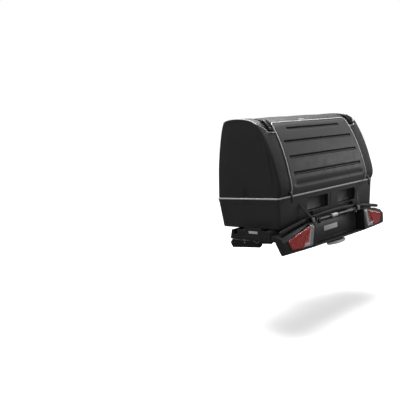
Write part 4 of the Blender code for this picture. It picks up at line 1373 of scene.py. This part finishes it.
# ---- hoops and ridge bar inside the shell
whole = Profile([(y, max(z, 0.2010)) for y, z in
                 [(y, z) for y, z in FRONT] + ROOF[:-1] + LID])
for side, sgn in (("left", -1), ("right", 1)):
    pts = []
    for i in range(121):
        s = whole.length * i / 120
        y, z = whole.at(s)
        ny, nz = whole.normal(s)
        pts.append((sgn * 0.4180, y - ny * 0.0108, max(z - nz * 0.0108, 0.2015)))
    hoop = tube("hoop_tube_" + side, pts, 0.0040, TUBE_GREY, sides=14)
    place(hoop, BODY, "hoop_" + side)
lo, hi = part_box("ridge_bar")
lo, hi = lo - OFF, hi - OFF
ridge = tube("ridge_tube", [(lo.x + (hi.x - lo.x) * i / 12, (lo.y + hi.y) / 2, (lo.z + hi.z) / 2) for i in range(13)],
             0.0045, TUBE_GREY, sides=16)
place(ridge, BODY, "ridge_bar")


# ================================================================ cargo box: tub
def plan_ring(hx, hy, r, z, seg=10):
    ring = []
    for cx, cy, a0 in ((hx - r, hy - r, 0.0), (-hx + r, hy - r, pi / 2),
                       (-hx + r, -hy + r, pi), (hx - r, -hy + r, 1.5 * pi)):
        for i in range(seg + 1):
            a = a0 + (pi / 2) * i / seg
            ring.append((cx + r * cos(a), cy + r * sin(a), z))
    return ring


def tub_half(z):
    t = z / TUB_TOP
    return 0.504 + (0.515 - 0.0006 - 0.504) * t, 0.2455 + (0.2625 - 0.0006 - 0.2455) * t


def tub_ring(z, inset):
    hx, hy = tub_half(z)
    return plan_ring(hx - inset, hy - inset, max(0.016 - inset, 0.005), z)


def loft(name, rings, mat=None, caps=True):
    verts, faces = grid(rings, closed_cols=True)
    n = len(rings[0])
    if caps:
        faces.append(tuple(reversed(range(n))))
        faces.append(tuple((len(rings) - 1) * n + j for j in range(n)))
    return clean(new_object(name, verts, faces, mat or [], sharp=30))


tub = loft("tub_body", [tub_ring(0.0002, 0.0085), tub_ring(0.0022, 0.0032), tub_ring(0.0055, 0.0008),
                        tub_ring(0.0100, 0.0), tub_ring(0.1730, 0.0), tub_ring(0.1745, -0.0014),
                        tub_ring(TUB_TOP, -0.0016)], TUB_PLASTIC)
POCKETS = {
    "grip_left": ((-0.235, -0.300, 0.076), (-0.015, -0.2200, 0.157)),
    "grip_right": ((0.100, -0.300, 0.076), (0.300, -0.2200, 0.157)),
    "strap_left": ((-0.272, -0.300, -0.02), (-0.180, -0.2330, 0.066)),
    "strap_right": ((0.180, -0.300, -0.02), (0.272, -0.2330, 0.066)),
}
cavity = loft("tub_cavity", [tub_ring(0.005, 0.012), tub_ring(0.008, 0.0065), tub_ring(0.014, 0.005),
                             [(x, y, TUB_TOP + 0.02) for x, y, _ in tub_ring(TUB_TOP, 0.005)]])
guards = []
for key, (lo, hi) in POCKETS.items():
    guards.append(cut(cavity, block((lo[0] - 0.004, lo[1], lo[2] - 0.004), (hi[0] + 0.004, hi[1] + 0.004, hi[2] + 0.004),
                                    0.006, 3)))
finish_cuts(cavity, guards)
cutters = [cut(tub, cavity)]
for key, (lo, hi) in POCKETS.items():
    cutters.append(cut(tub, block(lo, hi, 0.006, 3)))
for side, sgn in (("left", -1), ("right", 1)):
    # shallow pressed field in each end wall
    pts = rounded([(-0.205, 0.012), (0.205, 0.012), (0.216, 0.160), (-0.216, 0.160)], 0.014, 5)
    inner = [(sgn * (tub_half(z)[0] - 0.0024), y, z) for y, z in pts]
    outer = [(sgn * 0.540, y, z) for y, z in pts]
    n = len(pts)
    faces = [(j, (j + 1) % n, n + (j + 1) % n, n + j) for j in range(n)]
    faces += [tuple(reversed(range(n))), tuple(range(n, 2 * n))]
    cutters.append(cut(tub, clean(new_object("field", inner + outer, faces, []))))
# pressed fields in the rear wall around the grips, and a wide one in the front wall
for x0, x1, z0, z1 in ((-0.262, 0.012, 0.070, 0.1625), (0.074, 0.326, 0.070, 0.1625)):
    pts = rounded([(x0, z0), (x1, z0), (x1, z1), (x0, z1)], 0.010, 5)
    inner = [(x, -(tub_half(z)[1] - 0.0020), z) for x, z in pts]
    outer = [(x, -0.300, z) for x, z in pts]
    n = len(pts)
    faces = [(j, (j + 1) % n, n + (j + 1) % n, n + j) for j in range(n)]
    faces += [tuple(reversed(range(n))), tuple(range(n, 2 * n))]
    cutters.append(cut(tub, clean(new_object("field", inner + outer, faces, []))))
pts = rounded([(-0.440, 0.020), (0.440, 0.020), (0.440, 0.155), (-0.440, 0.155)], 0.016, 5)
inner = [(x, tub_half(z)[1] - 0.0022, z) for x, z in pts]
outer = [(x, 0.300, z) for x, z in pts]
n = len(pts)
faces = [(j, (j + 1) % n, n + (j + 1) % n, n + j) for j in range(n)]
faces += [tuple(reversed(range(n))), tuple(range(n, 2 * n))]
cutters.append(cut(tub, clean(new_object("field", inner + outer, faces, []))))
finish_cuts(tub, cutters)
tub.data.materials.clear()
tub.data.materials.append(TUB_PLASTIC)
for p in tub.data.polygons:
    p.material_index = 0
flats(tub, angle=0.2, sharp=28)
bevel(tub, 0.0013, 2, 28)
place(tub, BODY, "tub_shell")

# ---- rim piping: a rounded light strip all round
profile = [(-0.0050, -0.0044), (-0.0020, -0.0052), (0.0012, -0.0046), (0.0026, -0.0024), (0.0030, 0.0),
           (0.0026, 0.0024), (0.0012, 0.0046), (-0.0020, 0.0052), (-0.0050, 0.0044)]
rings = [plan_ring(0.515 + dx, 0.2625 + dx, 0.016 + dx, 0.1915 + dz, seg=12) for dx, dz in profile]
verts, faces = grid(rings, closed_rows=True, closed_cols=True)
rim = clean(new_object("rim_strip", verts, faces, PIPING, sharp=50))
place(rim, BODY, "rim_piping")


# ================================================================ platform
def coat_all(nodes, mat, body, w=0.0012, segs=2, angle=30):
    return [refine(n, mat, body, w, segs, angle) for n in nodes]


for side, sgn in (("left", -1), ("right", 1)):
    refine("wing_" + side, PLATFORM_PLASTIC, BODY, 0.0022, 3, 28)
    refine("box_hook_" + side, FRAME_STEEL, BODY, 0.0008)
    refine("rail_" + side, FRAME_STEEL, BODY, 0.0015, 3)
    # plain raised bar where the end of the wing carries its marking
    bar = block((sgn * 0.5592 if sgn > 0 else -0.5618, -0.1160, -0.0185), (0.5618 if sgn > 0 else -0.5592, -0.0420, -0.0030),
                0.0011, 3)
    bar.data.materials.append(LABEL_PALE)
    bar.data.shade_smooth()
    bar.name = "wing_end_bar_" + side
    place(bar, BODY)
    # raised ridge along the wing's end and rubber grips in the wheel troughs
    ridge_pts = [(sgn * 0.5602, y, z) for y, z in ((0.104, -0.050), (0.052, -0.0455), (-0.050, -0.0395),
                                                   (-0.130, -0.0345), (-0.205, -0.0300))]
    ridge_line = tube("wing_ridge_" + side, ring_path(ridge_pts, 0.012), 0.0022, PLATFORM_PLASTIC, sides=10)
    place(ridge_line, BODY)
    treads = []
    for y0, y1 in ((0.0480, 0.0900), (-0.1640, -0.1240)):
        for k in range(26):
            x = 0.150 + k * 0.0150
            tread = block((min(sgn * x, sgn * (x + 0.006)), y0 + 0.004, -0.0303),
                          (max(sgn * x, sgn * (x + 0.006)), y1 - 0.004, -0.0286), 0.0008, 1)
            tread.data.materials.append(RUBBER)
            treads.append(tread)
    place(joined("trough_treads_" + side, treads), BODY)
    # wire loop under the wing's end, for a tie-down
    loop_pts = [(sgn * 0.500, y, z) for y, z in ((-0.004, -0.0640), (-0.0080, -0.0750), (-0.0260, -0.0830),
                                                (-0.0440, -0.0900), (-0.0470, -0.0905), (-0.0520, -0.0880),
                                                (-0.0650, -0.0800), (-0.0780, -0.0720), (-0.0815, -0.0640))]
    loop = tube("tie_loop_" + side, ring_path(loop_pts, 0.004), 0.0019, ZINC, sides=10)
    place(loop, BODY)

coat_all(["centre_deck"], PLATFORM_PLASTIC, BODY, 0.0020, 3)
coat_all(["cross_tube_front", "cross_tube_rear"], FRAME_STEEL, BODY, 0.0020, 3)
ribs = []
for k in range(9):
    x = -0.100 + 0.025 * k
    rib = block((x - 0.003, -0.200, -0.0186), (x + 0.003, 0.118, -0.0165), 0.0010, 1)
    rib.data.materials.append(PLATFORM_PLASTIC)
    ribs.append(rib)
place(joined("deck_ribs", ribs), BODY)

# ---- arched bar: a rounded section over its full length
ARCH_Y0, ARCH_Y1 = -0.2855, -0.2655
sect = rounded([(ARCH_Y0, -0.0120), (ARCH_Y1, -0.0120), (ARCH_Y1, 0.0120), (ARCH_Y0, 0.0120)], 0.0062, 4)
rings = []
for i in range(73):
    x = -0.540 + 1.080 * i / 72
    z = 0.045 - 0.055 * (x / 0.540) ** 2
    k = 1.0 - 0.35 * smoothstep((abs(x) - 0.532) / 0.008)
    yc = (ARCH_Y0 + ARCH_Y1) / 2
    rings.append([(x, yc + (y - yc) * k, z + dz * k) for y, dz in sect])
arch = loft("arch_tube", rings, PLATFORM_PLASTIC)
place(arch, BODY, "arch_bar")
for side, sgn in (("left", -1), ("right", 1)):
    rings = []
    for i in range(21):
        x = sgn * (0.330 + 0.020 * i / 20)
        z = 0.045 - 0.055 * (x / 0.540) ** 2
        yc = (ARCH_Y0 + ARCH_Y1) / 2
        k = 1.06 + 0.05 * smoothstep(min(i, 20 - i) / 3)
        rings.append([(x, yc + (y - yc) * k, z + dz * k) for y, dz in sect])
    collar = loft("arch_collar_" + side, rings, BUCKLE_PLASTIC)
    place(collar, BODY)

# ---- lamps
LENS = [(0.3030, 0.0045), (0.2830, -0.0100), (0.3110, -0.1190), (0.4040, -0.1200), (0.4900, -0.1150),
        (0.5160, -0.0610), (0.4850, -0.0440)]
CLEAR = [(0.3030, 0.0045), (0.2830, -0.0100), (0.3110, -0.1190), (0.3950, -0.1199), (0.3920, -0.0940),
         (0.3430, -0.0930), (0.3160, 0.0010)]
RED = [(0.3176, 0.0006), (0.3444, -0.0922), (0.3936, -0.0932), (0.3968, -0.1196), (0.4900, -0.1150),
       (0.5160, -0.0610), (0.4850, -0.0440)]


def lens_y(x, proud=0.0):
    return -0.3345 + (abs(x) - 0.28) / 0.26 * 0.0200 - proud


def inside(poly, x, z):
    hit = False
    for i in range(len(poly)):
        (x0, z0), (x1, z1) = poly[i], poly[(i + 1) % len(poly)]
        if (z0 > z) != (z1 > z) and x < (x1 - x0) * (z - z0) / (z1 - z0) + x0:
            hit = not hit
    return hit


def border(poly, x, z):
    best = 1.0
    for i in range(len(poly)):
        a, b, p = Vector(poly[i]), Vector(poly[(i + 1) % len(poly)]), Vector((x, z))
        t = max(0, min(1, (p - a).dot(b - a) / (b - a).length_squared))
        best = min(best, (p - (a + (b - a) * t)).length)
    return best


def lens_piece(name, poly, sgn, mat, r=0.0035):
    """A lens with rounded outline and a gently crowned face that falls away at its rim."""
    ring = rounded(poly, r, 4)
    cx = sum(p[0] for p in ring) / len(ring)
    cz = sum(p[1] for p in ring) / len(ring)
    bm = bmesh.new()
    outer = [bm.verts.new((x, 0.0, z)) for x, z in ring]
    face = bm.faces.new(outer)
    bmesh.ops.triangulate(bm, faces=[face])
    bmesh.ops.subdivide_edges(bm, edges=[e for e in bm.edges if not e.is_boundary], cuts=0)
    for _ in range(4):
        long_edges = [e for e in bm.edges if e.calc_length() > 0.009]
        if not long_edges:
            break
        bmesh.ops.subdivide_edges(bm, edges=long_edges, cuts=1)
        bmesh.ops.triangulate(bm, faces=bm.faces[:])
    for v in bm.verts:
        x, z = v.co.x, v.co.z
        d = border(poly, x, z)
        crown = 0.0026 * smoothstep(d / 0.012) - 0.0016 * (1 - smoothstep(d / 0.0028))
        v.co = Vector((sgn * x, lens_y(x, 0.0008 + crown), z)) + OFF
    bmesh.ops.recalc_face_normals(bm, faces=bm.faces[:])
    if sum(f.normal.y * f.calc_area() for f in bm.faces) > 0:
        bmesh.ops.reverse_faces(bm, faces=bm.faces[:])
    mesh = bpy.data.meshes.new(name)
    bm.to_mesh(mesh)
    bm.free()
    mesh.materials.append(mat)
    mesh.shade_smooth()
    obj = bpy.data.objects.new(name, mesh)
    bpy.context.scene.collection.objects.link(obj)
    mod = solidify(obj, 0.0042)
    mod.use_rim = True
    return obj


def lamp_inside(name, poly, sgn, mats, depth, cell, relief, pick):
    """Faceted reflector cells behind a lens: each cell is a small dish, coloured by where it stands."""
    xs = [p[0] for p in poly]
    zs = [p[1] for p in poly]
    verts, faces, idx = [], [], []
    nx, nz = int((max(xs) - min(xs)) / cell) + 1, int((max(zs) - min(zs)) / cell) + 1
    for i in range(nx):
        for j in range(nz):
            x, z = min(xs) + (i + 0.5) * cell, min(zs) + (j + 0.5) * cell
            if not inside(poly, x, z) or border(poly, x, z) < cell * 0.45:
                continue
            base = len(verts)
            k = 4
            for a in range(k + 1):
                for b in range(k + 1):
                    px, pz = x + (a / k - 0.5) * cell * 0.97, z + (b / k - 0.5) * cell * 0.97
                    rr = ((a / k - 0.5) ** 2 + (b / k - 0.5) ** 2)
                    dish = relief * (1 - min(1.0, rr / 0.5))
                    verts.append((sgn * px, lens_y(px) + depth + dish, pz))
            for a in range(k):
                for b in range(k):
                    q = base + a * (k + 1) + b
                    faces.append((q, q + 1, q + k + 2, q + k + 1))
                    idx.append(pick(x, z))
    obj = new_object(name, verts, faces, mats, sharp=40)
    obj.data.polygons.foreach_set("material_index", idx)
    mod = solidify(obj, 0.0012, offset=1.0 if sgn > 0 else 1.0)
    return obj


GUIDE = [(0.4150, -0.0700), (0.3350, -0.0235), (0.3600, -0.0975), (0.4180, -0.0945)]
for side, sgn in (("left", -1), ("right", 1)):
    refine("lamp_housing_" + side, PLATFORM_PLASTIC, BODY, 0.0020, 3, 24)
    red = lens_piece("lens_red_" + side, RED, sgn, LENS_RED)
    place(red, BODY, "lamp_lens_red_" + side)
    clear = lens_piece("lens_clear_" + side, CLEAR, sgn, LENS_CLEAR)
    place(clear, BODY, "lamp_lens_clear_" + side)
    tray = lamp_inside("lamp_cells_" + side, LENS, sgn, [REFLECTOR, REFLECTOR_RED], 0.0160, 0.0088, -0.0022,
                       lambda x, z: 0 if inside(CLEAR, x, z) else 1)
    place(tray, BODY, "lamp_reflector_" + side)
    # light guide: a pale frame round the inner window, and the white reversing-light cell at its foot
    rows = []
    g_in = [(x + (0.3830 - x) * 0.16, z + (-0.0700 - z) * 0.16) for x, z in GUIDE]
    parts = []
    for k in range(4):
        a, b = GUIDE[k], GUIDE[(k + 1) % 4]
        c, d = g_in[(k + 1) % 4], g_in[k]
        outline = [a, b, c, d]
        verts = [(sgn * x, lens_y(x) + 0.0065, z) for x, z in outline] + \
                [(sgn * x, lens_y(x) + 0.0130, z) for x, z in outline]
        faces = [(j, (j + 1) % 4, 4 + (j + 1) % 4, 4 + j) for j in range(4)] + [(3, 2, 1, 0), (4, 5, 6, 7)]
        bar = clean(new_object("g", verts, faces, GUIDE_PINK, sharp=30))
        bevel(bar, 0.0006, 2, 30)
        parts.append(bar)
    place(joined("light_guide_" + side, parts), BODY)
    verts, faces = [], []
    for poly in ([(0.3060, -0.0100), (0.3270, -0.0110), (0.3480, -0.0900), (0.3250, -0.1150)],
                 [(0.3270, -0.1170), (0.3500, -0.0985), (0.3900, -0.0985), (0.3920, -0.1175)]):
        base = len(verts)
        verts += [(sgn * x, lens_y(x) + 0.0070, z) for x, z in poly] + [(sgn * x, lens_y(x) + 0.0140, z) for x, z in poly]
        faces += [tuple(base + q for q in f) for f in
                  [(j, (j + 1) % 4, 4 + (j + 1) % 4, 4 + j) for j in range(4)] + [(3, 2, 1, 0), (4, 5, 6, 7)]]
    cell = clean(new_object("white_cell_" + side, verts, faces, WHITE_CELL, sharp=30))
    bevel(cell, 0.0012, 2, 30)
    place(cell, BODY)

# ---- number-plate board with a raised lip, retaining clips and one plain raised bar
# the board's lighter plastic is painted light
board = prism("board", rounded([(-0.2680, -0.1290), (0.2680, -0.1290), (0.2680, -0.0060), (-0.2680, -0.0060)], 0.006, 4),
              "Y", -0.2655, -0.2602, BOARD_PLASTIC_LIT)
bevel(board, 0.0010, 2, 35)
parts = [board]
for lo, hi in (((-0.2655, -0.2662, -0.1290), (0.2655, -0.2640, -0.1235)), ((-0.2655, -0.2662, -0.0115), (0.2655, -0.2640, -0.0062)),
               ((-0.2675, -0.2662, -0.1280), (-0.2620, -0.2640, -0.0070)), ((0.2620, -0.2662, -0.1280), (0.2675, -0.2640, -0.0070))):
    lip = block(lo, hi, 0.0009, 2)
    lip.data.materials.append(BOARD_PLASTIC_LIT)
    parts.append(lip)
for x in (-0.200, 0.0, 0.200):
    for z in (-0.1265, -0.0090):
        clip = block((x - 0.014, -0.2690, z - 0.0042), (x + 0.014, -0.2650, z + 0.0042), 0.0012, 2)
        clip.data.materials.append(BOARD_PLASTIC_LIT)
        parts.append(clip)
place(joined("plate_board_face", parts), BODY, "plate_board")
bar = block((-0.1010, -0.2684, -0.0760), (0.0470, -0.2658, -0.0440), 0.0012, 3)
bar.data.materials.append(LABEL_PALE)
bar.data.shade_smooth()
bar.name = "board_bar"
place(bar, BODY)

refine("rear_sill", PLATFORM_PLASTIC, BODY, 0.0020, 3)

# ---- handle: grey tube with lugs, a black collar, a pale sleeve, and wire bails at its ends
HX, HY, HZ, HR = 0.1900, -0.2990, 0.0180, 0.0110
parts = [tube("bar", [(-HX + 2 * HX * i / 24, HY, HZ) for i in range(25)], HR, TUBE_GREY, sides=32)]
for sgn in (-1, 1):
    outline = rounded([(-0.3130, -0.0057), (-0.2600, -0.0057), (-0.2600, 0.0140), (-0.2862, 0.0200),
                       (-0.2862, 0.0310), (-0.3130, 0.0310)], 0.0045, 4)
    xs = sorted((sgn * 0.1856, sgn * 0.2060))
    lug = prism("lug", outline, "X", xs[0], xs[1], PLATFORM_PLASTIC)
    bevel(lug, 0.0014, 2, 35)
    parts.append(lug)
    parts.append(bolt("b", (sgn * 0.2060, HY, HZ), (sgn, 0, 0), ZINC, 0.0050, 0.0040))
place(joined("handle_bar", parts), BODY, "handle_tube")


def sleeve(name, x0, x1, r, mat, n=10):
    prof = [(r - 0.0010, x0), (r, x0 + 0.0010), (r, x1 - 0.0010), (r - 0.0010, x1), (HR - 0.0002, x1), (HR - 0.0002, x0)]
    rings = [[(x, HY + rr * cos(2 * pi * j / 36), HZ + rr * sin(2 * pi * j / 36)) for j in range(36)] for rr, x in prof]
    verts, faces = grid(rings, closed_rows=True, closed_cols=True)
    return clean(new_object(name, verts, faces, mat, sharp=35))


place(sleeve("handle_collar", -0.0870, -0.0570, HR + 0.0030, BUCKLE_PLASTIC), BODY)
place(sleeve("handle_sleeve", -0.0555, 0.0060, HR + 0.0009, LABEL_PALE), BODY)
place(sleeve("handle_collar_right", 0.0080, 0.0160, HR + 0.0022, BUCKLE_PLASTIC), BODY)
place(sleeve("handle_end_grip", 0.1230, 0.1810, HR + 0.0020, LEVER_GREY), BODY)

for side, sgn in (("left", -1), ("right", 1)):
    bail = [(sgn * x, y, z) for x, y, z in ((0.2070, -0.2990, 0.0130), (0.2120, -0.3010, 0.0020),
                                            (0.2200, -0.3030, -0.0030), (0.2290, -0.3040, 0.0030),
                                            (0.2380, -0.3040, 0.0150), (0.2440, -0.3020, 0.0220))]
    place(tube("bail_" + side, ring_path(bail, 0.003), 0.0016, ZINC, sides=10), BODY)

# ---- ratchets and ladder straps
for side, sgn in (("left", -1), ("right", 1)):
    lo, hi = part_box("ratchet_base_" + side)
    lo, hi = lo - OFF, hi - OFF
    cx, cz = (lo.x + hi.x) / 2, (lo.z + hi.z) / 2
    base = block((lo.x, lo.y, lo.z), (hi.x, hi.y, hi.z), 0.0018, 3)
    base.data.materials.append(BUCKLE_PLASTIC)
    parts = [base]
    for dx in (-0.0172, 0.0148):
        ear = prism("ear", rounded([(-0.2900, cz - 0.010), (-0.2900, cz + 0.014), (-0.3060, cz + 0.012),
                                    (-0.3070, cz + 0.001), (-0.2960, cz - 0.010)], 0.003, 3), "X", cx + dx, cx + dx + 0.0024,
                    BUCKLE_PLASTIC)
        bevel(ear, 0.0006, 2, 35)
        parts.append(ear)
    pin = tube("pin", [(cx - 0.0185 + 0.0370 * i / 6, -0.3010, cz + 0.0045) for i in range(7)], 0.0022, ZINC, sides=14)
    parts.append(pin)
    place(joined("ratchet_body_" + side, parts), BODY, "ratchet_base_" + side)
    # lever: a curved grey pad with grip ribs
    lo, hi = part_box("ratchet_lever_" + side)
    lo, hi = lo - OFF, hi - OFF
    rz = cz + 0.0005
    out = rounded([(-0.2985, rz + 0.0070), (-0.3040, rz + 0.0070), (-0.3075, rz + 0.0010), (-0.3120, rz - 0.0260),
                   (-0.3080, rz - 0.0275), (-0.2990, rz - 0.0040)], 0.0022, 3)
    pad = prism("pad", out, "X", cx - 0.0138, cx + 0.0138, LEVER_GREY)
    bevel(pad, 0.0016, 3, 35)
    parts = [pad]
    for k in range(4):
        z = rz - 0.0040 - 0.0050 * k
        y = -0.3080 - (rz - z) * 0.165
        rib = block((cx - 0.0100, y - 0.0012, z - 0.0010), (cx + 0.0100, y + 0.0020, z + 0.0010), 0.0006, 2)
        rib.data.materials.append(LEVER_GREY)
        parts.append(rib)
    place(joined("ratchet_pad_" + side, parts), "ratchet_" + side, "ratchet_lever_" + side)

    # ladder strap: tapered tongue and moulded rungs
    route = [(0.3180, -0.2600, 0.1300), (0.2960, -0.2745, 0.0950), (0.2760, -0.2900, 0.0640), (0.2660, -0.2944, 0.0500),
             (0.2560, -0.2945, 0.0340)]
    line = ring_path([(sgn * x, y, z) for x, y, z in route], 0.0022)
    rings = []
    n = len(line)
    verts, faces = [], []
    for i, p in enumerate(line):
        t = (line[min(i + 1, n - 1)] - line[max(i - 1, 0)]).normalized()
        out_n = Vector((0, -1, 0.15))
        out_n = (out_n - t * out_n.dot(t)).normalized()
        b = t.cross(out_n).normalized()
        w = 0.0105 * (0.45 + 0.55 * smoothstep(i / 10))
        rung = 0.0010 if (i % 3 == 1 and 4 < i < n - 6) else 0.0
        ring = [p + b * w - out_n * 0.0013, p + b * w + out_n * (0.0010 + rung * 0.4), p + b * w * 0.75 + out_n * (0.0013 + rung),
                p - b * w * 0.75 + out_n * (0.0013 + rung), p - b * w + out_n * (0.0010 + rung * 0.4), p - b * w - out_n * 0.0013]
        rings.append(ring)
    verts, faces = grid(rings, closed_cols=True)
    faces.append(tuple(range(5, -1, -1)))
    faces.append(tuple((n - 1) * 6 + j for j in range(6)))
    strap = clean(new_object("ladder_strap_rubber_" + side, verts, faces, RUBBER, sharp=30))
    bevel(strap, 0.0004, 1, 35)
    place(strap, BODY, "ladder_strap_" + side)

# ---- foot pedal: rounded pad with grip ribs on a stout arm
rings = []
for z, k in ((-0.1722, 0.70), (-0.1718, 0.82), (-0.1705, 0.92), (-0.1680, 0.985), (-0.1640, 1.0), (-0.1590, 0.995),
             (-0.1555, 0.96), (-0.1535, 0.90), (-0.1526, 0.82), (-0.1524, 0.60)):
    rings.append([(0.098 * k * cos(2 * pi * i / 56) * (1 - 0.06 * abs(sin(2 * pi * i / 56))),
                   -0.2830 + 0.0340 * k * sin(2 * pi * i / 56), z) for i in range(56)])
pad = loft("pad", rings, PEDAL_GREY_LIT)
parts = [pad]
arm = block((-0.0280, -0.2700, -0.1650), (0.0280, -0.1900, -0.1460), 0.0030, 3)
arm.data.materials.append(PEDAL_GREY_LIT)
horn = block((-0.0040, -0.2050, -0.1500), (0.0040, -0.1950, -0.1360), 0.0012, 2)
horn.data.materials.append(PEDAL_GREY_LIT)
parts += [arm, horn]
for k in range(7):
    x = -0.060 + 0.020 * k
    half = 0.020 * sqrt(max(0.0, 1 - (x / 0.092) ** 2))
    rib = block((x - 0.0030, -0.2850 - half, -0.1540), (x + 0.0030, -0.2850 + half * 0.6, -0.1508), 0.0010, 2)
    rib.data.materials.append(RUBBER)
    parts.append(rib)
place(joined("pedal_pad", parts), "pedal", "foot_pedal")


def pin_piece(name, node, body, axis_pts, r, head=True):
    a, b = Vector(axis_pts[0]), Vector(axis_pts[1])
    way = (b - a).normalized()
    length = (b - a).length
    prof = [(r * 0.3, 0.0), (r - 0.0008, 0.0), (r, 0.0008), (r, length - 0.0008), (r - 0.0008, length), (r * 0.3, length)]
    shaft = turned(name + "_s", prof, a, way, ZINC, 32)
    parts = [shaft]
    if head:
        for c, d in ((a, way * -1), (b, way)):
            base = c - d * 0.0030
            parts.append(turned(name + "_c", [(r * 1.02, 0.0), (r * 1.5, 0.0), (r * 1.55, 0.0004), (r * 1.5, 0.0010),
                                              (r * 1.02, 0.0010)], base, d, ZINC, 28))
    return place(joined(name, parts), body, node)


pin_piece("tilt_shaft", "tilt_pin", "coupling", ((-0.1090, 0.360, -0.115), (0.1090, 0.360, -0.115)), 0.008)
pin_piece("lever_shaft", "lever_pin", "coupling", ((-0.0740, 0.500, -0.220), (0.0740, 0.500, -0.220)), 0.004)
pin_piece("catch_rod", "catch_bar", "coupling", ((-0.0617, 0.3434, -0.2032), (0.0617, 0.3434, -0.2032)), 0.005, False)
pin_piece("jaw_shaft", "jaw_pin", "coupling", ((-0.0617, 0.5535, -0.2220), (0.0617, 0.5535, -0.2220)), 0.004, False)
pin_piece("pedal_shaft", "pedal_pin", "platform", ((-0.1030, -0.200, -0.1560), (0.1030, -0.200, -0.1560)), 0.004, False)
pin_piece("latch_shaft", "latch_pin", "platform", ((-0.1030, 0.270, -0.1560), (0.1030, 0.270, -0.1560)), 0.004, False)
pin_piece("latch_link", "latch_rod", "link", ((0.0, -0.1930, -0.1400), (0.0, 0.2550, -0.1400)), 0.003, False)

coil = [(0.0330, -0.200 + 0.0074, -0.156 - 0.018)]
for i in range(4 * 28 + 1):
    a = 2 * pi * i / 28
    coil.append((0.0330 + 0.0240 * i / (4 * 28), -0.200 + 0.0074 * cos(a), -0.156 + 0.0074 * sin(a)))
coil.append((0.0570, -0.200 + 0.0074, -0.156 + 0.014))
spring = tube("return_spring", coil, 0.0011, ZINC, sides=10)
place(spring, "platform", "pedal_spring")

for node, mat, w in (("coupling_cheek_left", FRAME_STEEL, 0.0012), ("coupling_cheek_right", FRAME_STEEL, 0.0012),
                     ("ball_cup", FRAME_STEEL, 0.0022)):
    refine(node, mat, "coupling", w, 3)
refine("clamp_jaw", ZINC, "jaw", 0.0010, 2)
refine("latch_pawl", ZINC, "pawl", 0.0010, 2)
refine("clamp_lever", FRAME_STEEL, "lever", 0.0018, 3)
refine("lever_grip", RUBBER, "lever", 0.0040, 4)

# key barrel with its slot and a rim
along = Vector((0, -1, 1)).normalized()
across = Vector((0, 1, 1)).normalized()
barrel = Vector((0.0300, 0.500, -0.220)) + along * 0.1930
face = turned("barrel", [(0.0020, 0.0044), (0.0056, 0.0044), (0.0060, 0.0050), (0.0060, 0.0168), (0.0054, 0.0175),
                         (0.0020, 0.0175)], barrel, across, ZINC, 36)
slot_cut = block((-0.0042, -0.0007, 0.0150), (0.0042, 0.0007, 0.0200), 0.0)
slot_cut.matrix_world = Matrix.Translation(barrel + OFF) @ Matrix(
    ((1, 0, 0, 0), (0, along.y, across.y, 0), (0, along.z, across.z, 0), (0, 0, 0, 1))) @ Matrix.Translation(-OFF)
bpy.context.view_layer.update()
c = cut(face, slot_cut)
finish_cuts(face, [c])
face.data.materials.clear()
face.data.materials.append(ZINC)
place(face, "lock", "lock_barrel")

# ---- screws: coupling cheeks to cup, rails to cross tubes, lamp housings, hooks
bolts = []
for sgn in (-1, 1):
    for y, z in ((0.6100, -0.2320), (0.6380, -0.2320), (0.5900, -0.2520)):
        bolts.append(bolt("b", (sgn * 0.0700, y, z), (sgn, 0, 0), FRAME_STEEL, 0.0052))
place(joined("coupling_bolts", bolts), "coupling")
bolts = []
for sgn in (-1, 1):
    for y in (-0.170, 0.070):
        bolts.append(bolt("b", (sgn * 0.0890, y, -0.1400), (0, 0, -1), ZINC, 0.0055))
    for x, y in ((0.290, -0.2280), (0.520, -0.2280)):
        bolts.append(bolt("b", (sgn * x, y, -0.0606), (0, 0, -1), ZINC, 0.0045))
place(joined("frame_bolts", bolts), "platform")
